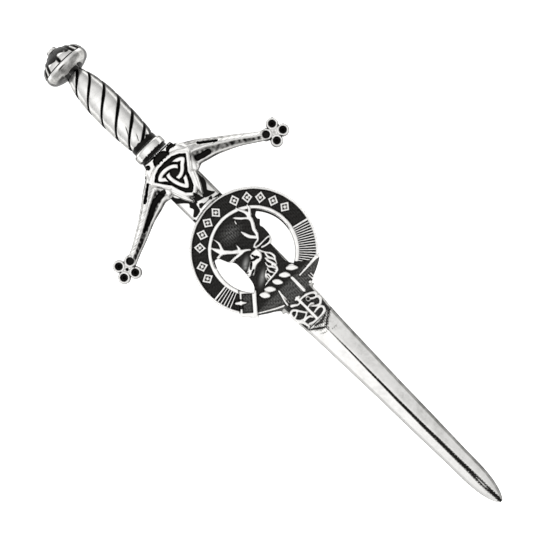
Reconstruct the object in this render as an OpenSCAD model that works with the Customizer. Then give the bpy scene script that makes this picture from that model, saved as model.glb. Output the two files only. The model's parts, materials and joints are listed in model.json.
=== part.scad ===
/* [Fit] */
// Clearance kept between neighbouring pieces
fit_gap = 0.08; // [0.06:0.01:0.12]
// Gap between the guard and the collar above it, which the guard's lean eats into
lean_gap = 0.2; // [0.16:0.01:0.3]

/* [Blade] */
// Length of the blade from the guard's shoulder to the point
blade_len = 77.3; // [70:0.5:90]
// Width of the blade at the guard
blade_w = 6.84; // [6.2:0.02:7.6]
// Thickness of the blade at its ridge
blade_t = 2.1; // [1.9:0.05:2.3]
// Thickness of the blade at its edges
edge_t = 1; // [0.7:0.05:1.1]
// Width of the narrow bevel along each edge
bevel_w = 0.4; // [0.2:0.05:0.6]
// Widest width of the groove down the middle
groove_w = 0.6; // [0.3:0.05:0.8]
// Depth of the groove
groove_depth = 0.4; // [0.2:0.05:0.6]
// Length of the tang that enters the guard
tang_len = 3; // [2:0.1:4]
// Width of the tang
tang_w = 3.6; // [2.5:0.1:4]
// Thickness of the tang
tang_t = 1.4; // [1:0.05:1.6]

/* [Hilt] */
// Height of the hilt's axis above its flat back
axis_rise = 0.9; // [0.5:0.05:1.3]
// Length of the guard's hub from the blade's shoulder to the collar
hub_len = 6.85; // [6.4:0.05:7.6]
// Length of the collar with its neck
collar_len = 2.05; // [1.7:0.05:2.6]
// Greatest width of the collar
collar_w = 6; // [5.6:0.1:6.6]
// Length of the grip with the neck at its foot
grip_len = 17.35; // [14:0.05:20]
// Greatest width of the grip
grip_w = 5.86; // [5:0.02:7]
// Length of the plain neck at the grip's foot
neck_len = 0.9; // [0.5:0.1:1.4]
// Width of the neck
neck_w = 4.9; // [4.2:0.05:5.2]
// Number of flutes twisted round the grip
flute_count = 4; // [2:1:5]
// Depth of the grooves between the flutes
flute_depth = 0.36; // [0.2:0.02:0.5]
// Length of the pommel with its button
pommel_len = 6.09; // [5:0.01:8]
// Greatest width of the pommel
pommel_w = 8.56; // [7:0.02:10]
// Number of lobes round the pommel's dome
lobe_count = 8; // [6:1:10]
// Depth of the grooves between the lobes
lobe_depth = 0.3; // [0.1:0.02:0.4]

/* [Guard] */
// Angle at which the guard leans to one side
guard_lean = 2; // [0:0.1:3]
// Width of the hub at the collar
hub_w = 6.1; // [5.6:0.1:7]
// Thickness of the hub
hub_t = 2.5; // [2.3:0.05:2.8]
// Distance of each quatrefoil's centre from the middle of the sword
quillon_reach = 17.25; // [15:0.05:20]
// Drop from the guard's top to the quatrefoils' centres
quillon_drop = 11; // [9.5:0.05:12.5]
// Height of the quillons' ridge at the hub
ridge_root = 2.85; // [2.5:0.05:3.2]
// Height of the quillons' ridge at the quatrefoil
ridge_end = 1.9; // [1.5:0.05:2.3]
// Thickness of the quillons at their edges
quillon_edge = 1.2; // [0.9:0.05:1.4]
// Outer diameter of each of the quatrefoil's four rings
foil_d = 2.2; // [1.9:0.05:2.6]
// Diameter of the blind hole in each ring
foil_hole = 1.24; // [0.8:0.02:1.4]
// Spacing of the rings from the quatrefoil's centre
foil_pitch = 1.5; // [1.3:0.02:1.7]
// Thickness of the quatrefoil
foil_t = 1.8; // [1.5:0.05:2.2]
// Depth of the blind holes
foil_depth = 0.9; // [0.5:0.05:1.1]
// Width of the sunk shield that holds the knot
shield_w = 7.3; // [6.4:0.05:8]
// Height of the sunk shield
shield_h = 7; // [6.6:0.05:8]
// Width of the raised border round the shield
border_w = 0.85; // [0.6:0.05:1.1]
// Height of the border above the back
border_h = 3.2; // [3:0.05:3.5]
// Width of the knot between its side corners
knot_w = 5.3; // [4.8:0.05:5.6]
// Depth of the knot's bottom loop below its middle
knot_low = 3.3; // [3:0.05:3.8]
// Width of the knot's bands
band_w = 0.85; // [0.5:0.05:1]
// Width of the gap where one band passes under another
under_gap = 0.26; // [0.15:0.01:0.4]

/* [Badge] */
// Height of the badge's seat on the blade
seat_t = 1.2; // [1:0.05:1.4]
// Outer diameter of the belt ring
badge_d = 22; // [20:0.1:24]
// Diameter of the opening inside the ring
opening_d = 13.95; // [13:0.05:15]
// Drop of the opening's centre below the ring's centre
opening_drop = 0.2; // [0.1:0.05:0.4]
// Sideways shift of the opening's centre from the ring's centre
opening_shift = -0.04; // [-0.1:0.02:0.1]
// Drop of the ring's centre below the blade's shoulder
badge_drop = 16.65; // [14.5:0.05:18]
// Sideways place of the badge's centre
badge_x = 0.35; // [0:0.05:0.5]
// Width of the ring's outer rim
outer_rim = 0.5; // [0.4:0.05:0.8]
// Inner diameter of the ring's inner rim
rim_d = 14.3; // [14:0.05:15]
// Width of the ring's inner rim
inner_rim = 0.7; // [0.5:0.05:1]
// Thickness of the rims
rim_t = 2; // [1.8:0.05:2.4]
// Thickness of the sunk band between the rims
band_t = 1.3; // [1.1:0.05:1.5]
// Thickness of the backing behind the crest
field_t = 0.9; // [0.7:0.05:1.1]
// Length of the strap end below the ring's centre
tail_len = 16.1; // [15.5:0.1:18]
// Height of the raised artwork on the backing
relief_h = 1.25; // [1:0.05:1.5]
// Height of the scrolled chape at the strap's end
chape_h = 5.2; // [4.6:0.1:5.6]
// Half width of the chape
chape_half = 3.05; // [2.7:0.05:3.1]
// Sideways place of the chape's middle
chape_x = -0.13; // [-0.2:0.01:0.2]
// Height of the buckle above the badge's back
buckle_h = 2.3; // [2:0.05:2.6]

/* [Fastening] */
// Diameter of the stem
stem_d = 1.1; // [0.9:0.05:1.3]
// Height of the stem's axis above the surface that the pin rests on
stem_z = 1.1; // [1.05:0.05:1.4]
// Room for cloth between the stem and the sword's back
throat = 4.4; // [4.2:0.05:5]
// Length of the stem between hinge and catch
stem_span = 44; // [38:0.5:50]
// Length of the point that passes the catch
stem_tip = 3; // [2:0.1:4]
// Drop of the hinge below the guard's top
hinge_drop = 2.25; // [1.8:0.05:3.2]
// Width of the hinge
hinge_w = 5.2; // [4.6:0.1:5.6]
// Length of the hinge
hinge_len = 4.4; // [3.8:0.1:5]
// Thickness of the hinge's cheeks and of the base plates
sheet_t = 0.8; // [0.6:0.05:1]
// Diameter of the stem's eye on the hinge
eye_d = 2; // [1.6:0.05:2.1]
// Diameter of the hinge's rivet heads
rivet_d = 1.3; // [1:0.05:1.6]
// Width of the catch
catch_w = 4.2; // [3.6:0.1:4.6]
// Length of the catch
catch_len = 3.6; // [3:0.1:4.4]

/* [Hidden] */

// Facets of large rims, of small rings, and of the ends of small strokes
fine = 96;
small = 20;
stroke_fn = 8;
// Depth that a cut runs past the face it opens
past = 1;
// Depth that a raised form is rooted in what carries it
root = 0.08;
// Width of a stroke's top as a share of its foot: usual, rounder and blunter strokes
stroke_slope = 0.7;
round_slope = 0.6;
blunt_slope = 0.85;

// Heights above the surface that the pin rests on
back_z = stem_z + stem_d / 2 + throat;
axis_z = back_z + axis_rise;
badge_z = back_z + seat_t + fit_gap;

// Places along the sword, with the whole length centred on the origin
total_len = blade_len + hub_len + lean_gap + collar_len + grip_len + pommel_len + 2 * fit_gap;
tip_y = -total_len / 2;
shoulder_y = tip_y + blade_len;
hub_top = shoulder_y + hub_len;
collar_y = hub_top + lean_gap;
grip_y = collar_y + collar_len + fit_gap;
pommel_y = grip_y + grip_len + fit_gap;
foil_y = hub_top - quillon_drop;

// Centres and radii of the badge
badge_c = [badge_x, shoulder_y - badge_drop];
badge_r = badge_d / 2;
opening_r = opening_d / 2;
opening_c = [badge_x + opening_shift, badge_c.y - opening_drop];
tail_y = badge_c.y - tail_len;

// A solid through rings of equal length, each turning from its first point over the front
module loft(rings) {
    n = len(rings[0]);
    last = len(rings) - 1;
    middle_a = [for (i = [0:2]) [for (p = rings[0]) p[i]] * [for (p = rings[0]) 1 / n]];
    middle_b = [for (i = [0:2]) [for (p = rings[last]) p[i]] * [for (p = rings[last]) 1 / n]];
    points = concat([for (r = rings) for (p = r) p], [middle_a, middle_b]);
    sides = [
        for (k = [0:last - 1]) for (j = [0:n - 1])
        for (t = [[k * n + j, k * n + (j + 1) % n, (k + 1) * n + (j + 1) % n],
                  [k * n + j, (k + 1) * n + (j + 1) % n, (k + 1) * n + j]]) t
    ];
    caps = [
        for (j = [0:n - 1])
        for (t = [[(last + 1) * n, (j + 1) % n, j],
                  [(last + 1) * n + 1, last * n + j, last * n + (j + 1) % n]]) t
    ];
    polyhedron(points = points, faces = concat(sides, caps), convexity = 8);
}

// A point of the round hilt, flattened on the sword's back
function hilt_point(r, a, y) = [r * cos(a), y, max(back_z, axis_z + r * sin(a))];

// A raised stroke with sloping sides through points of x, y and width
module stroke(points, low, high, slope = stroke_slope) {
    for (i = [0:len(points) - 2])
        hull()
            for (p = [points[i], points[i + 1]])
                translate([p[0], p[1], low])
                    cylinder(r1 = p[2] / 2, r2 = p[2] / 2 * slope, h = high - low, $fn = stroke_fn);
}

// A small raised ring
module annulet(c, r, w, low, high) {
    translate([c.x, c.y, low])
        difference() {
            cylinder(r = r + w / 2, h = high - low, $fn = small);
            translate([0, 0, -past])
                cylinder(r = r - w / 2, h = high - low + 2 * past, $fn = small);
        }
}

// Sections of the pommel: share of its length, share of its radius, share of the lobes' depth
pommel_rings = [
    [0, 0.43, 0],
    [0.045, 0.655, 0],
    [0.115, 0.875, 0],
    [0.2, 0.975, 0],
    [0.27, 1, 0],
    [0.33, 1, 0],
    [0.37, 0.99, 0],
    [0.39, 0.945, 0],
    [0.41, 0.985, 0.6],
    [0.5, 0.945, 1],
    [0.56, 0.895, 1],
    [0.665, 0.745, 1],
    [0.76, 0.55, 1],
    [0.825, 0.38, 0.6],
    [0.85, 0.27, 0.3],
    [0.885, 0.235, 0],
    [0.94, 0.205, 0],
    [0.985, 0.13, 0],
    [1, 0.05, 0]
];
// Shares of a lobe's angle at its points, and how far the groove reaches each
lobe_steps = [[0, 1], [0.1, 0.45], [0.26, 0.08], [0.5, 0], [0.74, 0.08], [0.9, 0.45]];

module pommel() {
    color("silver")
        loft([
            for (s = pommel_rings) [
                for (k = [0:lobe_count - 1]) for (t = lobe_steps)
                    hilt_point(
                        s[1] * pommel_w / 2 - s[2] * t[1] * lobe_depth,
                        90 + (k + t[0]) * 360 / lobe_count,
                        pommel_y + s[0] * pommel_len
                    )
            ]
        ]);
}

// Half widths of the grip as shares of its greatest, at shares of its length above the neck
grip_shape = [
    [0, 0.8], [0.03, 0.85], [0.08, 0.9], [0.28, 0.975], [0.5, 0.995],
    [0.65, 0.965], [0.8, 0.86], [0.92, 0.7], [1, 0.55]
];
// How much the twist tightens towards both ends, its turn from the middle to an end, and its start
twist_rate = 0.5;
twist_turn = 236;
twist_start = 27;
grip_steps = 30;
// Shares of a flute's angle at its points, and how far the groove reaches each
flute_steps = [
    [0, 1], [0.06, 0.62], [0.14, 0.12], [0.27, 0.03], [0.5, 0], [0.73, 0.03], [0.86, 0.12], [0.94, 0.62]
];

// Share from -1 to 1 of the grip's half length at which the flutes have turned by a share of their turn
function twist_place(k) =
    let (full = ln((1 + twist_rate) / (1 - twist_rate)), e = exp(k * full))
    (e - 1) / (e + 1) / twist_rate;

function flute_ring(r, deep, turn, y) = [
    for (k = [0:flute_count - 1]) for (t = flute_steps)
        let (a = twist_start - turn + (k + t[0]) * 360 / flute_count, d = r - t[1] * deep)
            [d * cos(a), y, axis_z + d * sin(a)]
];

function grip_ring(k) =
    let (v = (twist_place(k) + 1) / 2)
    flute_ring(
        lookup(v, grip_shape) * grip_w / 2, flute_depth, twist_turn * k,
        grip_y + neck_len + v * (grip_len - neck_len)
    );

module grip() {
    color("gainsboro")
        intersection() {
            loft(concat(
                [
                    flute_ring(neck_w / 2, 0, -twist_turn, grip_y),
                    flute_ring(neck_w / 2, 0, -twist_turn, grip_y + neck_len - root)
                ],
                [for (i = [0:grip_steps]) grip_ring(2 * i / grip_steps - 1)]
            ));
            translate([-grip_w, grip_y - past, back_z])
                cube([2 * grip_w, grip_len + 2 * past, 2 * grip_w]);
        }
}

// Sections of the collar: share of its length and share of its radius
collar_rings = [[0, 0.9], [0.2, 0.9], [0.24, 0.97], [0.4, 1], [0.72, 1], [0.9, 0.95], [1, 0.84]];

module collar() {
    color("silver")
        intersection() {
            translate([0, collar_y, axis_z])
                rotate([-90, 0, 0])
                    rotate_extrude($fn = fine)
                        polygon(concat(
                            [[0, 0]],
                            [for (s = collar_rings) [s[1] * collar_w / 2, s[0] * collar_len]],
                            [[0, collar_len]]
                        ));
            translate([-collar_w, collar_y - past, back_z])
                cube([2 * collar_w, collar_len + 2 * past, collar_w]);
        }
}

// Sections of the two quillons, which the maker left unlike:
// share of the reach, top edge and bottom edge as shares of the drop
left_quillon = [
    [0.1, 0.07, 0.66], [0.19, 0.1, 0.66], [0.255, 0.163, 0.643], [0.35, 0.267, 0.683],
    [0.46, 0.409, 0.734], [0.61, 0.584, 0.835], [0.81, 0.788, 0.967], [0.91, 0.871, 1.04]
];
right_quillon = [
    [0.1, 0.04, 0.63], [0.19, 0.055, 0.614], [0.255, 0.131, 0.577], [0.35, 0.213, 0.61],
    [0.46, 0.334, 0.656], [0.61, 0.497, 0.752], [0.81, 0.73, 0.931], [0.91, 0.84, 1.036]
];
function quillon_shape(side) = side < 0 ? left_quillon : right_quillon;
// Place of the ridge between the bottom edge and the top edge
ridge_share = 0.56;

// Height of the ridge above the back at a share of the reach
function ridge_h(s) = ridge_root + (ridge_end - ridge_root) * s;

module quillon_arm(side) {
    loft([
        for (s = quillon_shape(side))
            let (
                x = s[0] * quillon_reach,
                top = hub_top - s[1] * quillon_drop,
                low = hub_top - s[2] * quillon_drop,
                mid = low + ridge_share * (top - low)
            ) [
                [x, mid, back_z + ridge_h(s[0])],
                [x, top, back_z + quillon_edge],
                [x, top, back_z],
                [x, low, back_z],
                [x, low, back_z + quillon_edge]
            ]
    ]);
}

// Angle of the quillon's end, which the four rings line up with
foil_angle = -27;
// Radius of the plate between the rings as a share of their spacing
heart_share = 0.75;

module foil_places() {
    translate([quillon_reach, foil_y, back_z])
        for (k = [0:3])
            rotate(foil_angle + 90 * k)
                translate([foil_pitch, 0, 0])
                    children();
}

module quatrefoil() {
    foil_places()
        cylinder(d = foil_d, h = foil_t, $fn = small);
    translate([quillon_reach, foil_y, back_z])
        cylinder(r = foil_pitch * heart_share, h = foil_t - foil_depth / 4, $fn = small);
}

module foil_holes() {
    foil_places()
        translate([0, 0, foil_t - foil_depth])
            cylinder(d = foil_hole, h = foil_depth + past, $fn = small);
}

// Half outline of the sunk shield: shares of its half width and, from the top, of its height
shield_half = [
    [0, 0], [0.41, 0.014], [0.74, 0.083], [1, 0.197], [0.77, 0.37],
    [0.505, 0.543], [0.393, 0.727], [0.254, 0.9], [0.03, 1]
];
// Drop of the shield's top edge below the guard's top, and of the knot's middle as a share of the shield
shield_drop = 2.05;
knot_drop = 0.33;
shield_top = hub_top - shield_drop;
// Depth of the sunk shield and height of the knot below the border's top
shield_sink = 0.8;
knot_sink = 0.1;

function shield_point(p, side) = [side * p[0] * shield_w / 2, shield_top - p[1] * shield_h];

module shield_plan() {
    polygon(concat(
        [for (p = shield_half) shield_point(p, 1)],
        [for (i = [len(shield_half) - 1:-1:1]) shield_point(shield_half[i], -1)]
    ));
}

// The knot is made of three half circles of a plain triquetra, on a circle of radius 1 through its corners.
// Each place on them is then carried to the shield: the side loops lie flat and the bottom loop is narrow.
knot_c = [0, shield_top - knot_drop * shield_h];
knot_steps = 24;
arc_r = sqrt(3) / 2;
arc_off = 1 / 2;
// How much narrower the bottom loop is, and how much wider the loops are between the side corners
knot_taper = 0.36;
knot_fill = 0.2;
// How high the side corners stand, and the bulge between them, as shares of the knot's width
knot_rise = 0.115;
knot_bulge = 0.08;

// A place on band k at a share of its length, in the plain triquetra
function knot_plain(k, t) =
    let (a = 180 + 180 * t, x = arc_r * cos(a), y = arc_off + arc_r * sin(a), b = 120 * k)
    [x * cos(b) - y * sin(b), x * sin(b) + y * cos(b)];

// The same place on the shield
function knot_place(k, t) =
    let (
        p = knot_plain(k, t),
        side = p.x / arc_r,
        inner = 1 - side * side,
        half = knot_w / 2 * (1 - knot_taper * (arc_off - p.y)) * (1 + knot_fill * inner),
        lift = p.y < 0 ? p.y * knot_low : p.y / arc_off * (knot_rise + knot_bulge * inner) * knot_w
    ) [side * half, lift];

// A point beside the band's middle line
function knot_edge(k, t, off) =
    let (
        step = 0.25 / knot_steps,
        d = knot_place(k, t + step) - knot_place(k, t - step),
        p = knot_place(k, t)
    ) p + off / norm(d) * [-d.y, d.x];

module knot_band(k, w, from = 0, to = 1) {
    polygon(concat(
        [for (i = [0:knot_steps]) knot_edge(k, from + (to - from) * i / knot_steps, w / 2)],
        [for (i = [knot_steps:-1:0]) knot_edge(k, from + (to - from) * i / knot_steps, -w / 2)]
    ));
}

// Shares of a band's length between which it passes over the one before it
over_from = 0.54;
over_to = 0.8;

// The bands, each cut away on both sides where it passes under the next
module knot_plan() {
    for (k = [0:2])
        difference() {
            knot_band(k, band_w);
            knot_band((k + 2) % 3, band_w + 2 * under_gap, over_from, over_to);
        }
}

// Langets and the notch between them: shares of the shield's half width and of its height, and width
langet_path = [[0.65, 0.643, 1.1], [0.425, 0.93, 1.2], [0.274, 1.164, 0.5]];
notch_path = [[0, 1.05, 0.2], [0, 1.27, 1.1]];

// The same as places and widths, for strokes
function shield_path(list, side) = [for (p = list) concat(shield_point(p, side), [p[2]])];

module langets() {
    for (side = [-1, 1])
        stroke(shield_path(langet_path, side), blade_front, back_z + border_h - knot_sink, blunt_slope);
}

module langet_notch() {
    stroke(shield_path(notch_path, 1), back_z, back_z + border_h + past, 1);
}

// Height of the guard's underside where it lies over the blade
blade_front = back_z + blade_t + fit_gap;

// Half outline of the hub: shares of half its width and, from the top, of its length
hub_half = [
    [1, 0], [1.07, 0.1], [1.2, 0.155], [1.44, 0.235], [1.5, 0.33], [1.41, 0.81], [1.23, 0.91], [1.13, 1]
];

function hub_point(p, side) = [side * p[0] * hub_w / 2, hub_top - p[1] * hub_len];

module hub_plan() {
    polygon(concat(
        [for (p = hub_half) hub_point(p, 1)],
        [for (i = [len(hub_half) - 1:-1:0]) hub_point(hub_half[i], -1)]
    ));
}

// Slots in the upper facets and hollows in the lower ones: side, two shares of the reach between which the
// cut runs, its share of the width from the top edge, its own width
facet_cuts = [
    [-1, 0.275, 0.417, 0.2, 0.55],
    [1, 0.371, 0.522, 0.25, 0.55],
    [-1, 0.24, 0.5, 0.7, 0.8],
    [1, 0.265, 0.39, 0.75, 0.85]
];
facet_cut_depth = 0.5;
// How much wider than its width a cut is at its top, and narrower at its foot, as a share
cut_flare = 0.3;

// A place on a quillon: share of the reach and share of the width from the top edge
function quillon_at(side, s, t) =
    let (
        top = lookup(s, [for (q = quillon_shape(side)) [q[0], q[1]]]),
        low = lookup(s, [for (q = quillon_shape(side)) [q[0], q[2]]])
    ) [side * s * quillon_reach, hub_top - (top + t * (low - top)) * quillon_drop];

// Height of the quillon's face there
function facet_h(s, t) =
    let (r = 1 - ridge_share, k = t < r ? t / r : (1 - t) / (1 - r))
    quillon_edge + (ridge_h(s) - quillon_edge) * k;

module facet_cut(c) {
    hull()
        for (s = [c[1], c[2]])
            let (p = quillon_at(c[0], s, c[3]), w = c[4])
                translate([p.x, p.y, back_z + facet_h(s, c[3]) - facet_cut_depth])
                    cylinder(
                        d1 = w * (1 - cut_flare), d2 = w * (1 + cut_flare), h = 2 * facet_cut_depth,
                        $fn = stroke_fn
                    );
}

// Sunk moon above the shield
moon_w = 3.4;
moon_h = 1.45;
moon_drop = 0.12;
// Corner hollows beside it: shares of half the hub's width and, from the top, of its length, and width
corner_path = [[0.8, 0.13, 0.7], [1.03, 0.1, 0.75]];
hollow_depth = 0.9;

module hub_hollows() {
    hollow_z = back_z + hub_t - hollow_depth;
    intersection() {
        translate([0, hub_top - moon_drop - moon_h, hollow_z])
            cylinder(r = moon_w / 2, h = hollow_depth + border_h, $fn = small);
        translate([-moon_w, hub_top - moon_drop - moon_h, back_z])
            cube([2 * moon_w, moon_h, 2 * border_h]);
    }
    for (side = [-1, 1])
        let (path = [for (p = corner_path) concat(hub_point(p, side), [p[2]])])
            stroke(path, hollow_z, back_z + border_h + past, 1);
}

module guard_body() {
    translate([0, 0, back_z])
        linear_extrude(hub_t)
            hub_plan();
    for (side = [-1, 1])
        mirror([side < 0 ? 1 : 0, 0, 0]) {
            quillon_arm(side);
            quatrefoil();
        }
    translate([0, 0, blade_front])
        linear_extrude(back_z + border_h - blade_front)
            offset(r = border_w, $fn = small)
                shield_plan();
    langets();
}

module guard_relief() {
    intersection() {
        translate([knot_c.x, knot_c.y, blade_front])
            linear_extrude(back_z + border_h - knot_sink - blade_front)
                knot_plan();
        translate([0, 0, blade_front])
            linear_extrude(border_h)
                offset(r = border_w / 2, $fn = small)
                    shield_plan();
    }
}

// Room for the tang, cut square to the blade
module tang_socket() {
    translate([-tang_w / 2 - fit_gap, shoulder_y - past, back_z + (hub_t - tang_t) / 2 - fit_gap])
        cube([tang_w + 2 * fit_gap, tang_len + fit_gap + past, tang_t + 2 * fit_gap]);
}

module guard() {
    color("lightgray")
        difference() {
            translate([0, foil_y, 0])
                rotate(-guard_lean)
                    translate([0, -foil_y, 0]) {
                        difference() {
                            guard_body();
                            translate([0, 0, back_z + border_h - shield_sink])
                                linear_extrude(border_h)
                                    shield_plan();
                            hub_hollows();
                            langet_notch();
                            for (c = facet_cuts)
                                facet_cut(c);
                            for (side = [0, 1])
                                mirror([side, 0, 0])
                                    foil_holes();
                        }
                        guard_relief();
                    }
            tang_socket();
            // Everything below the shoulder stays in front of the blade
            translate([-blade_w / 2 - fit_gap, shoulder_y - blade_len, back_z - past])
                cube([blade_w + 2 * fit_gap, blade_len + fit_gap, past + blade_t + fit_gap]);
        }
}

// Half widths of the blade as shares of its width at the guard, at shares of its length
blade_shape = [
    [0, 1], [0.07, 0.995], [0.36, 0.94], [0.415, 0.88], [0.45, 0.835],
    [0.505, 0.795], [0.643, 0.702], [0.754, 0.652], [0.864, 0.588], [1, 0.56]
];
// Share of the length where the point begins, and the powers of its curve
point_share = 0.9;
point_a = 2.2;
point_b = 0.7;
// Sections of the blade, and how thin it is at the point
blade_stations = [
    0, 0.07, 0.2, 0.36, 0.39, 0.415, 0.45, 0.505, 0.57, 0.643, 0.7, 0.754, 0.81, 0.864, 0.9,
    0.92, 0.94, 0.955, 0.968, 0.978, 0.986, 0.992, 0.997, 0.9995
];
point_thin = 0.6;
// Height of the bevel's inner edge between the blade's edge and its ridge, as a share
bevel_rise = 0.35;
// Half width below which the ridge comes down to the edge
ridge_run = blade_w / 4;

function blade_half(s) =
    blade_w / 2 * lookup(s, blade_shape)
    * (s > point_share ? pow(1 - pow((s - point_share) / (1 - point_share), point_a), point_b) : 1);

function blade_ring(s) =
    let (
        h = blade_half(s),
        y = shoulder_y - s * blade_len,
        thin = 1 - (1 - point_thin) * pow(s, 3),
        b = min(bevel_w, h / 3),
        e = edge_t * thin,
        top = e + (blade_t - edge_t) * thin * min(1, h / ridge_run),
        bevel_top = e + (top - e) * bevel_rise
    ) [
        [h, y, back_z],
        [h, y, back_z + e],
        [h - b, y, back_z + bevel_top],
        [0, y, back_z + top],
        [b - h, y, back_z + bevel_top],
        [-h, y, back_z + e],
        [-h, y, back_z]
    ];

// The groove: share of the length, share of its width, share of its depth
groove_ends = [[0.45, 0.3, 0.4], [0.8, 1, 1], [0.985, 1, 1]];

module groove() {
    for (i = [0:len(groove_ends) - 2])
        hull()
            for (g = [groove_ends[i], groove_ends[i + 1]])
                let (ridge = blade_ring(g[0])[3], w = g[1] * groove_w / 2, d = g[2] * groove_depth)
                    translate([0, ridge.y, ridge.z])
                        rotate([90, 0, 0])
                            linear_extrude(root)
                                polygon([[-w / 3, -d], [w / 3, -d], [2 * w, past], [-2 * w, past]]);
}

// The seat that the badge lies on
module badge_seat() {
    translate([badge_c.x, badge_c.y, back_z + seat_t])
        cylinder(r = badge_r + fit_gap, h = blade_t, $fn = fine);
    translate([-blade_w, tail_y - fit_gap, back_z + seat_t])
        cube([2 * blade_w, tail_len, blade_t]);
}

module blade() {
    color("whitesmoke") {
        difference() {
            loft([for (i = [len(blade_stations) - 1:-1:0]) blade_ring(blade_stations[i])]);
            groove();
            badge_seat();
        }
        translate([-tang_w / 2, shoulder_y - root, back_z + (hub_t - tang_t) / 2])
            cube([tang_w, tang_len + root, tang_t]);
    }
}

// Layers of the badge, above the surface that the pin rests on
band_z = badge_z + band_t;
rim_z = badge_z + rim_t;
field_z = badge_z + field_t;
art_z = field_z + relief_h;
// Foot of the artwork inside the backing, and the step between the heights of its parts
art_foot = badge_z + field_t / 2;
art_step = relief_h / 10;

module disc(c, r, low, high) {
    translate([c.x, c.y, low])
        cylinder(r = r, h = high - low, $fn = fine);
}

// A place on the badge, given in shares of the ring's radius from its centre
function badge_place(p) = [badge_c.x + p[0] * badge_r, badge_c.y + p[1] * badge_r];
function badge_path(list) = [for (p = list) concat(badge_place(p), [p[2] * badge_r])];

// Outline of the gap at the foot of the belt, where the rims stop for the wreath and the strap end
belt_gap = [
    [-0.44, -0.416], [-0.669, -0.714], [-0.784, -0.887], [-0.018, -1.231], [0.787, -0.83],
    [0.699, -0.755], [0.488, -0.72], [0.34, -0.583], [0.276, -0.485], [-0.018, -0.347]
];

module belt_foot() {
    translate([0, 0, field_z])
        linear_extrude(rim_t)
            polygon([for (p = belt_gap) badge_place(p)]);
}

// Inner and outer radius of the sunk band
band_in = rim_d / 2 + inner_rim;
band_out = badge_r - outer_rim;

// The belt: a sunk band between two rims
module belt_ring() {
    difference() {
        disc(badge_c, badge_r, badge_z, rim_z);
        difference() {
            disc(badge_c, band_out, band_z, rim_z + past);
            disc(badge_c, band_in, band_z - past, rim_z + 2 * past);
        }
        disc(opening_c, opening_r, badge_z - past, rim_z + past);
        disc(badge_c, rim_d / 2, field_z, rim_z + past);
        belt_foot();
    }
}

// Groups of ribs across the belt: first angle, last angle, count
rib_groups = [[186.7, 202.7, 6], [-14.3, -59.5, 18]];
rib_w = 0.2;

module belt_ribs() {
    difference() {
        for (g = rib_groups)
            for (i = [0:g[2] - 1])
                let (a = g[0] + (g[1] - g[0]) * i / (g[2] - 1))
                    translate([badge_c.x, badge_c.y, band_z - root])
                        rotate(a)
                            translate([band_in - inner_rim / 4, -rib_w / 2, 0])
                                cube([band_out - band_in + inner_rim / 2, rib_w, rim_t - band_t]);
        belt_foot();
    }
}

// Groups of lozenges round the belt: angle of the first, count
lozenge_groups = [[166.2, 2], [132, 4], [66.2, 5]];
lozenge_pitch = 14.1;
lozenge_h = 2.4;
lozenge_w = 2.15;
lozenge_bar = 0.5;
pellet_d = 0.7;
ornament_h = 0.6;

module lozenge() {
    long = (lozenge_h - lozenge_bar) / 2;
    wide = (lozenge_w - lozenge_bar) / 2;
    corners = [[long, 0], [0, wide], [-long, 0], [0, -wide], [long, 0]];
    stroke([for (c = corners) concat(c, [lozenge_bar])], 0, ornament_h);
    cylinder(d1 = pellet_d, d2 = pellet_d * round_slope, h = ornament_h, $fn = stroke_fn);
}

module belt_ornament() {
    for (g = lozenge_groups)
        for (i = [0:g[1] - 1])
            let (a = g[0] - lozenge_pitch * i)
                translate([badge_c.x, badge_c.y, band_z - root])
                    rotate(a)
                        translate([(band_in + band_out) / 2, 0, 0])
                            lozenge();
}

// A place in the ring's opening, given in shares of its radius
function crest_place(p) = [opening_c.x + p[0] * opening_r, opening_c.y + p[1] * opening_r];

// The same for strokes, whose third number is a width in shares too
function crest_path(list) = [for (p = list) concat(crest_place(p), [p[2] * opening_r])];

// Edges of the crest beside its two openings, from the top down
left_edge = [
    [-0.8, 0.53], [-0.73, 0.48], [-0.69, 0.39], [-0.63, 0.26], [-0.55, 0.17], [-0.515, 0.07], [-0.51, -0.1],
    [-0.53, -0.26], [-0.55, -0.42], [-0.58, -0.54], [-0.63, -0.63], [-0.72, -0.7]
];
right_edge = [
    [0.74, 0.68], [0.65, 0.62], [0.63, 0.53], [0.66, 0.47], [0.56, 0.37], [0.58, 0.27], [0.565, 0.04],
    [0.51, -0.09], [0.415, -0.17], [0.4, -0.42], [0.39, -0.7], [0.49, -0.875]
];

module crest_openings() {
    intersection() {
        disc(opening_c, opening_r, badge_z - past, rim_z + past);
        translate([0, 0, badge_z - past])
            linear_extrude(field_t + 2 * past)
                for (edge = [left_edge, right_edge])
                    let (
                        top = edge[0],
                        end = edge[len(edge) - 1],
                        far = 2 * sign(top.x),
                        corners = concat(edge, [[far, end.y], [far, top.y]])
                    )
                        polygon([for (p = corners) crest_place(p)]);
    }
}

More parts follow.
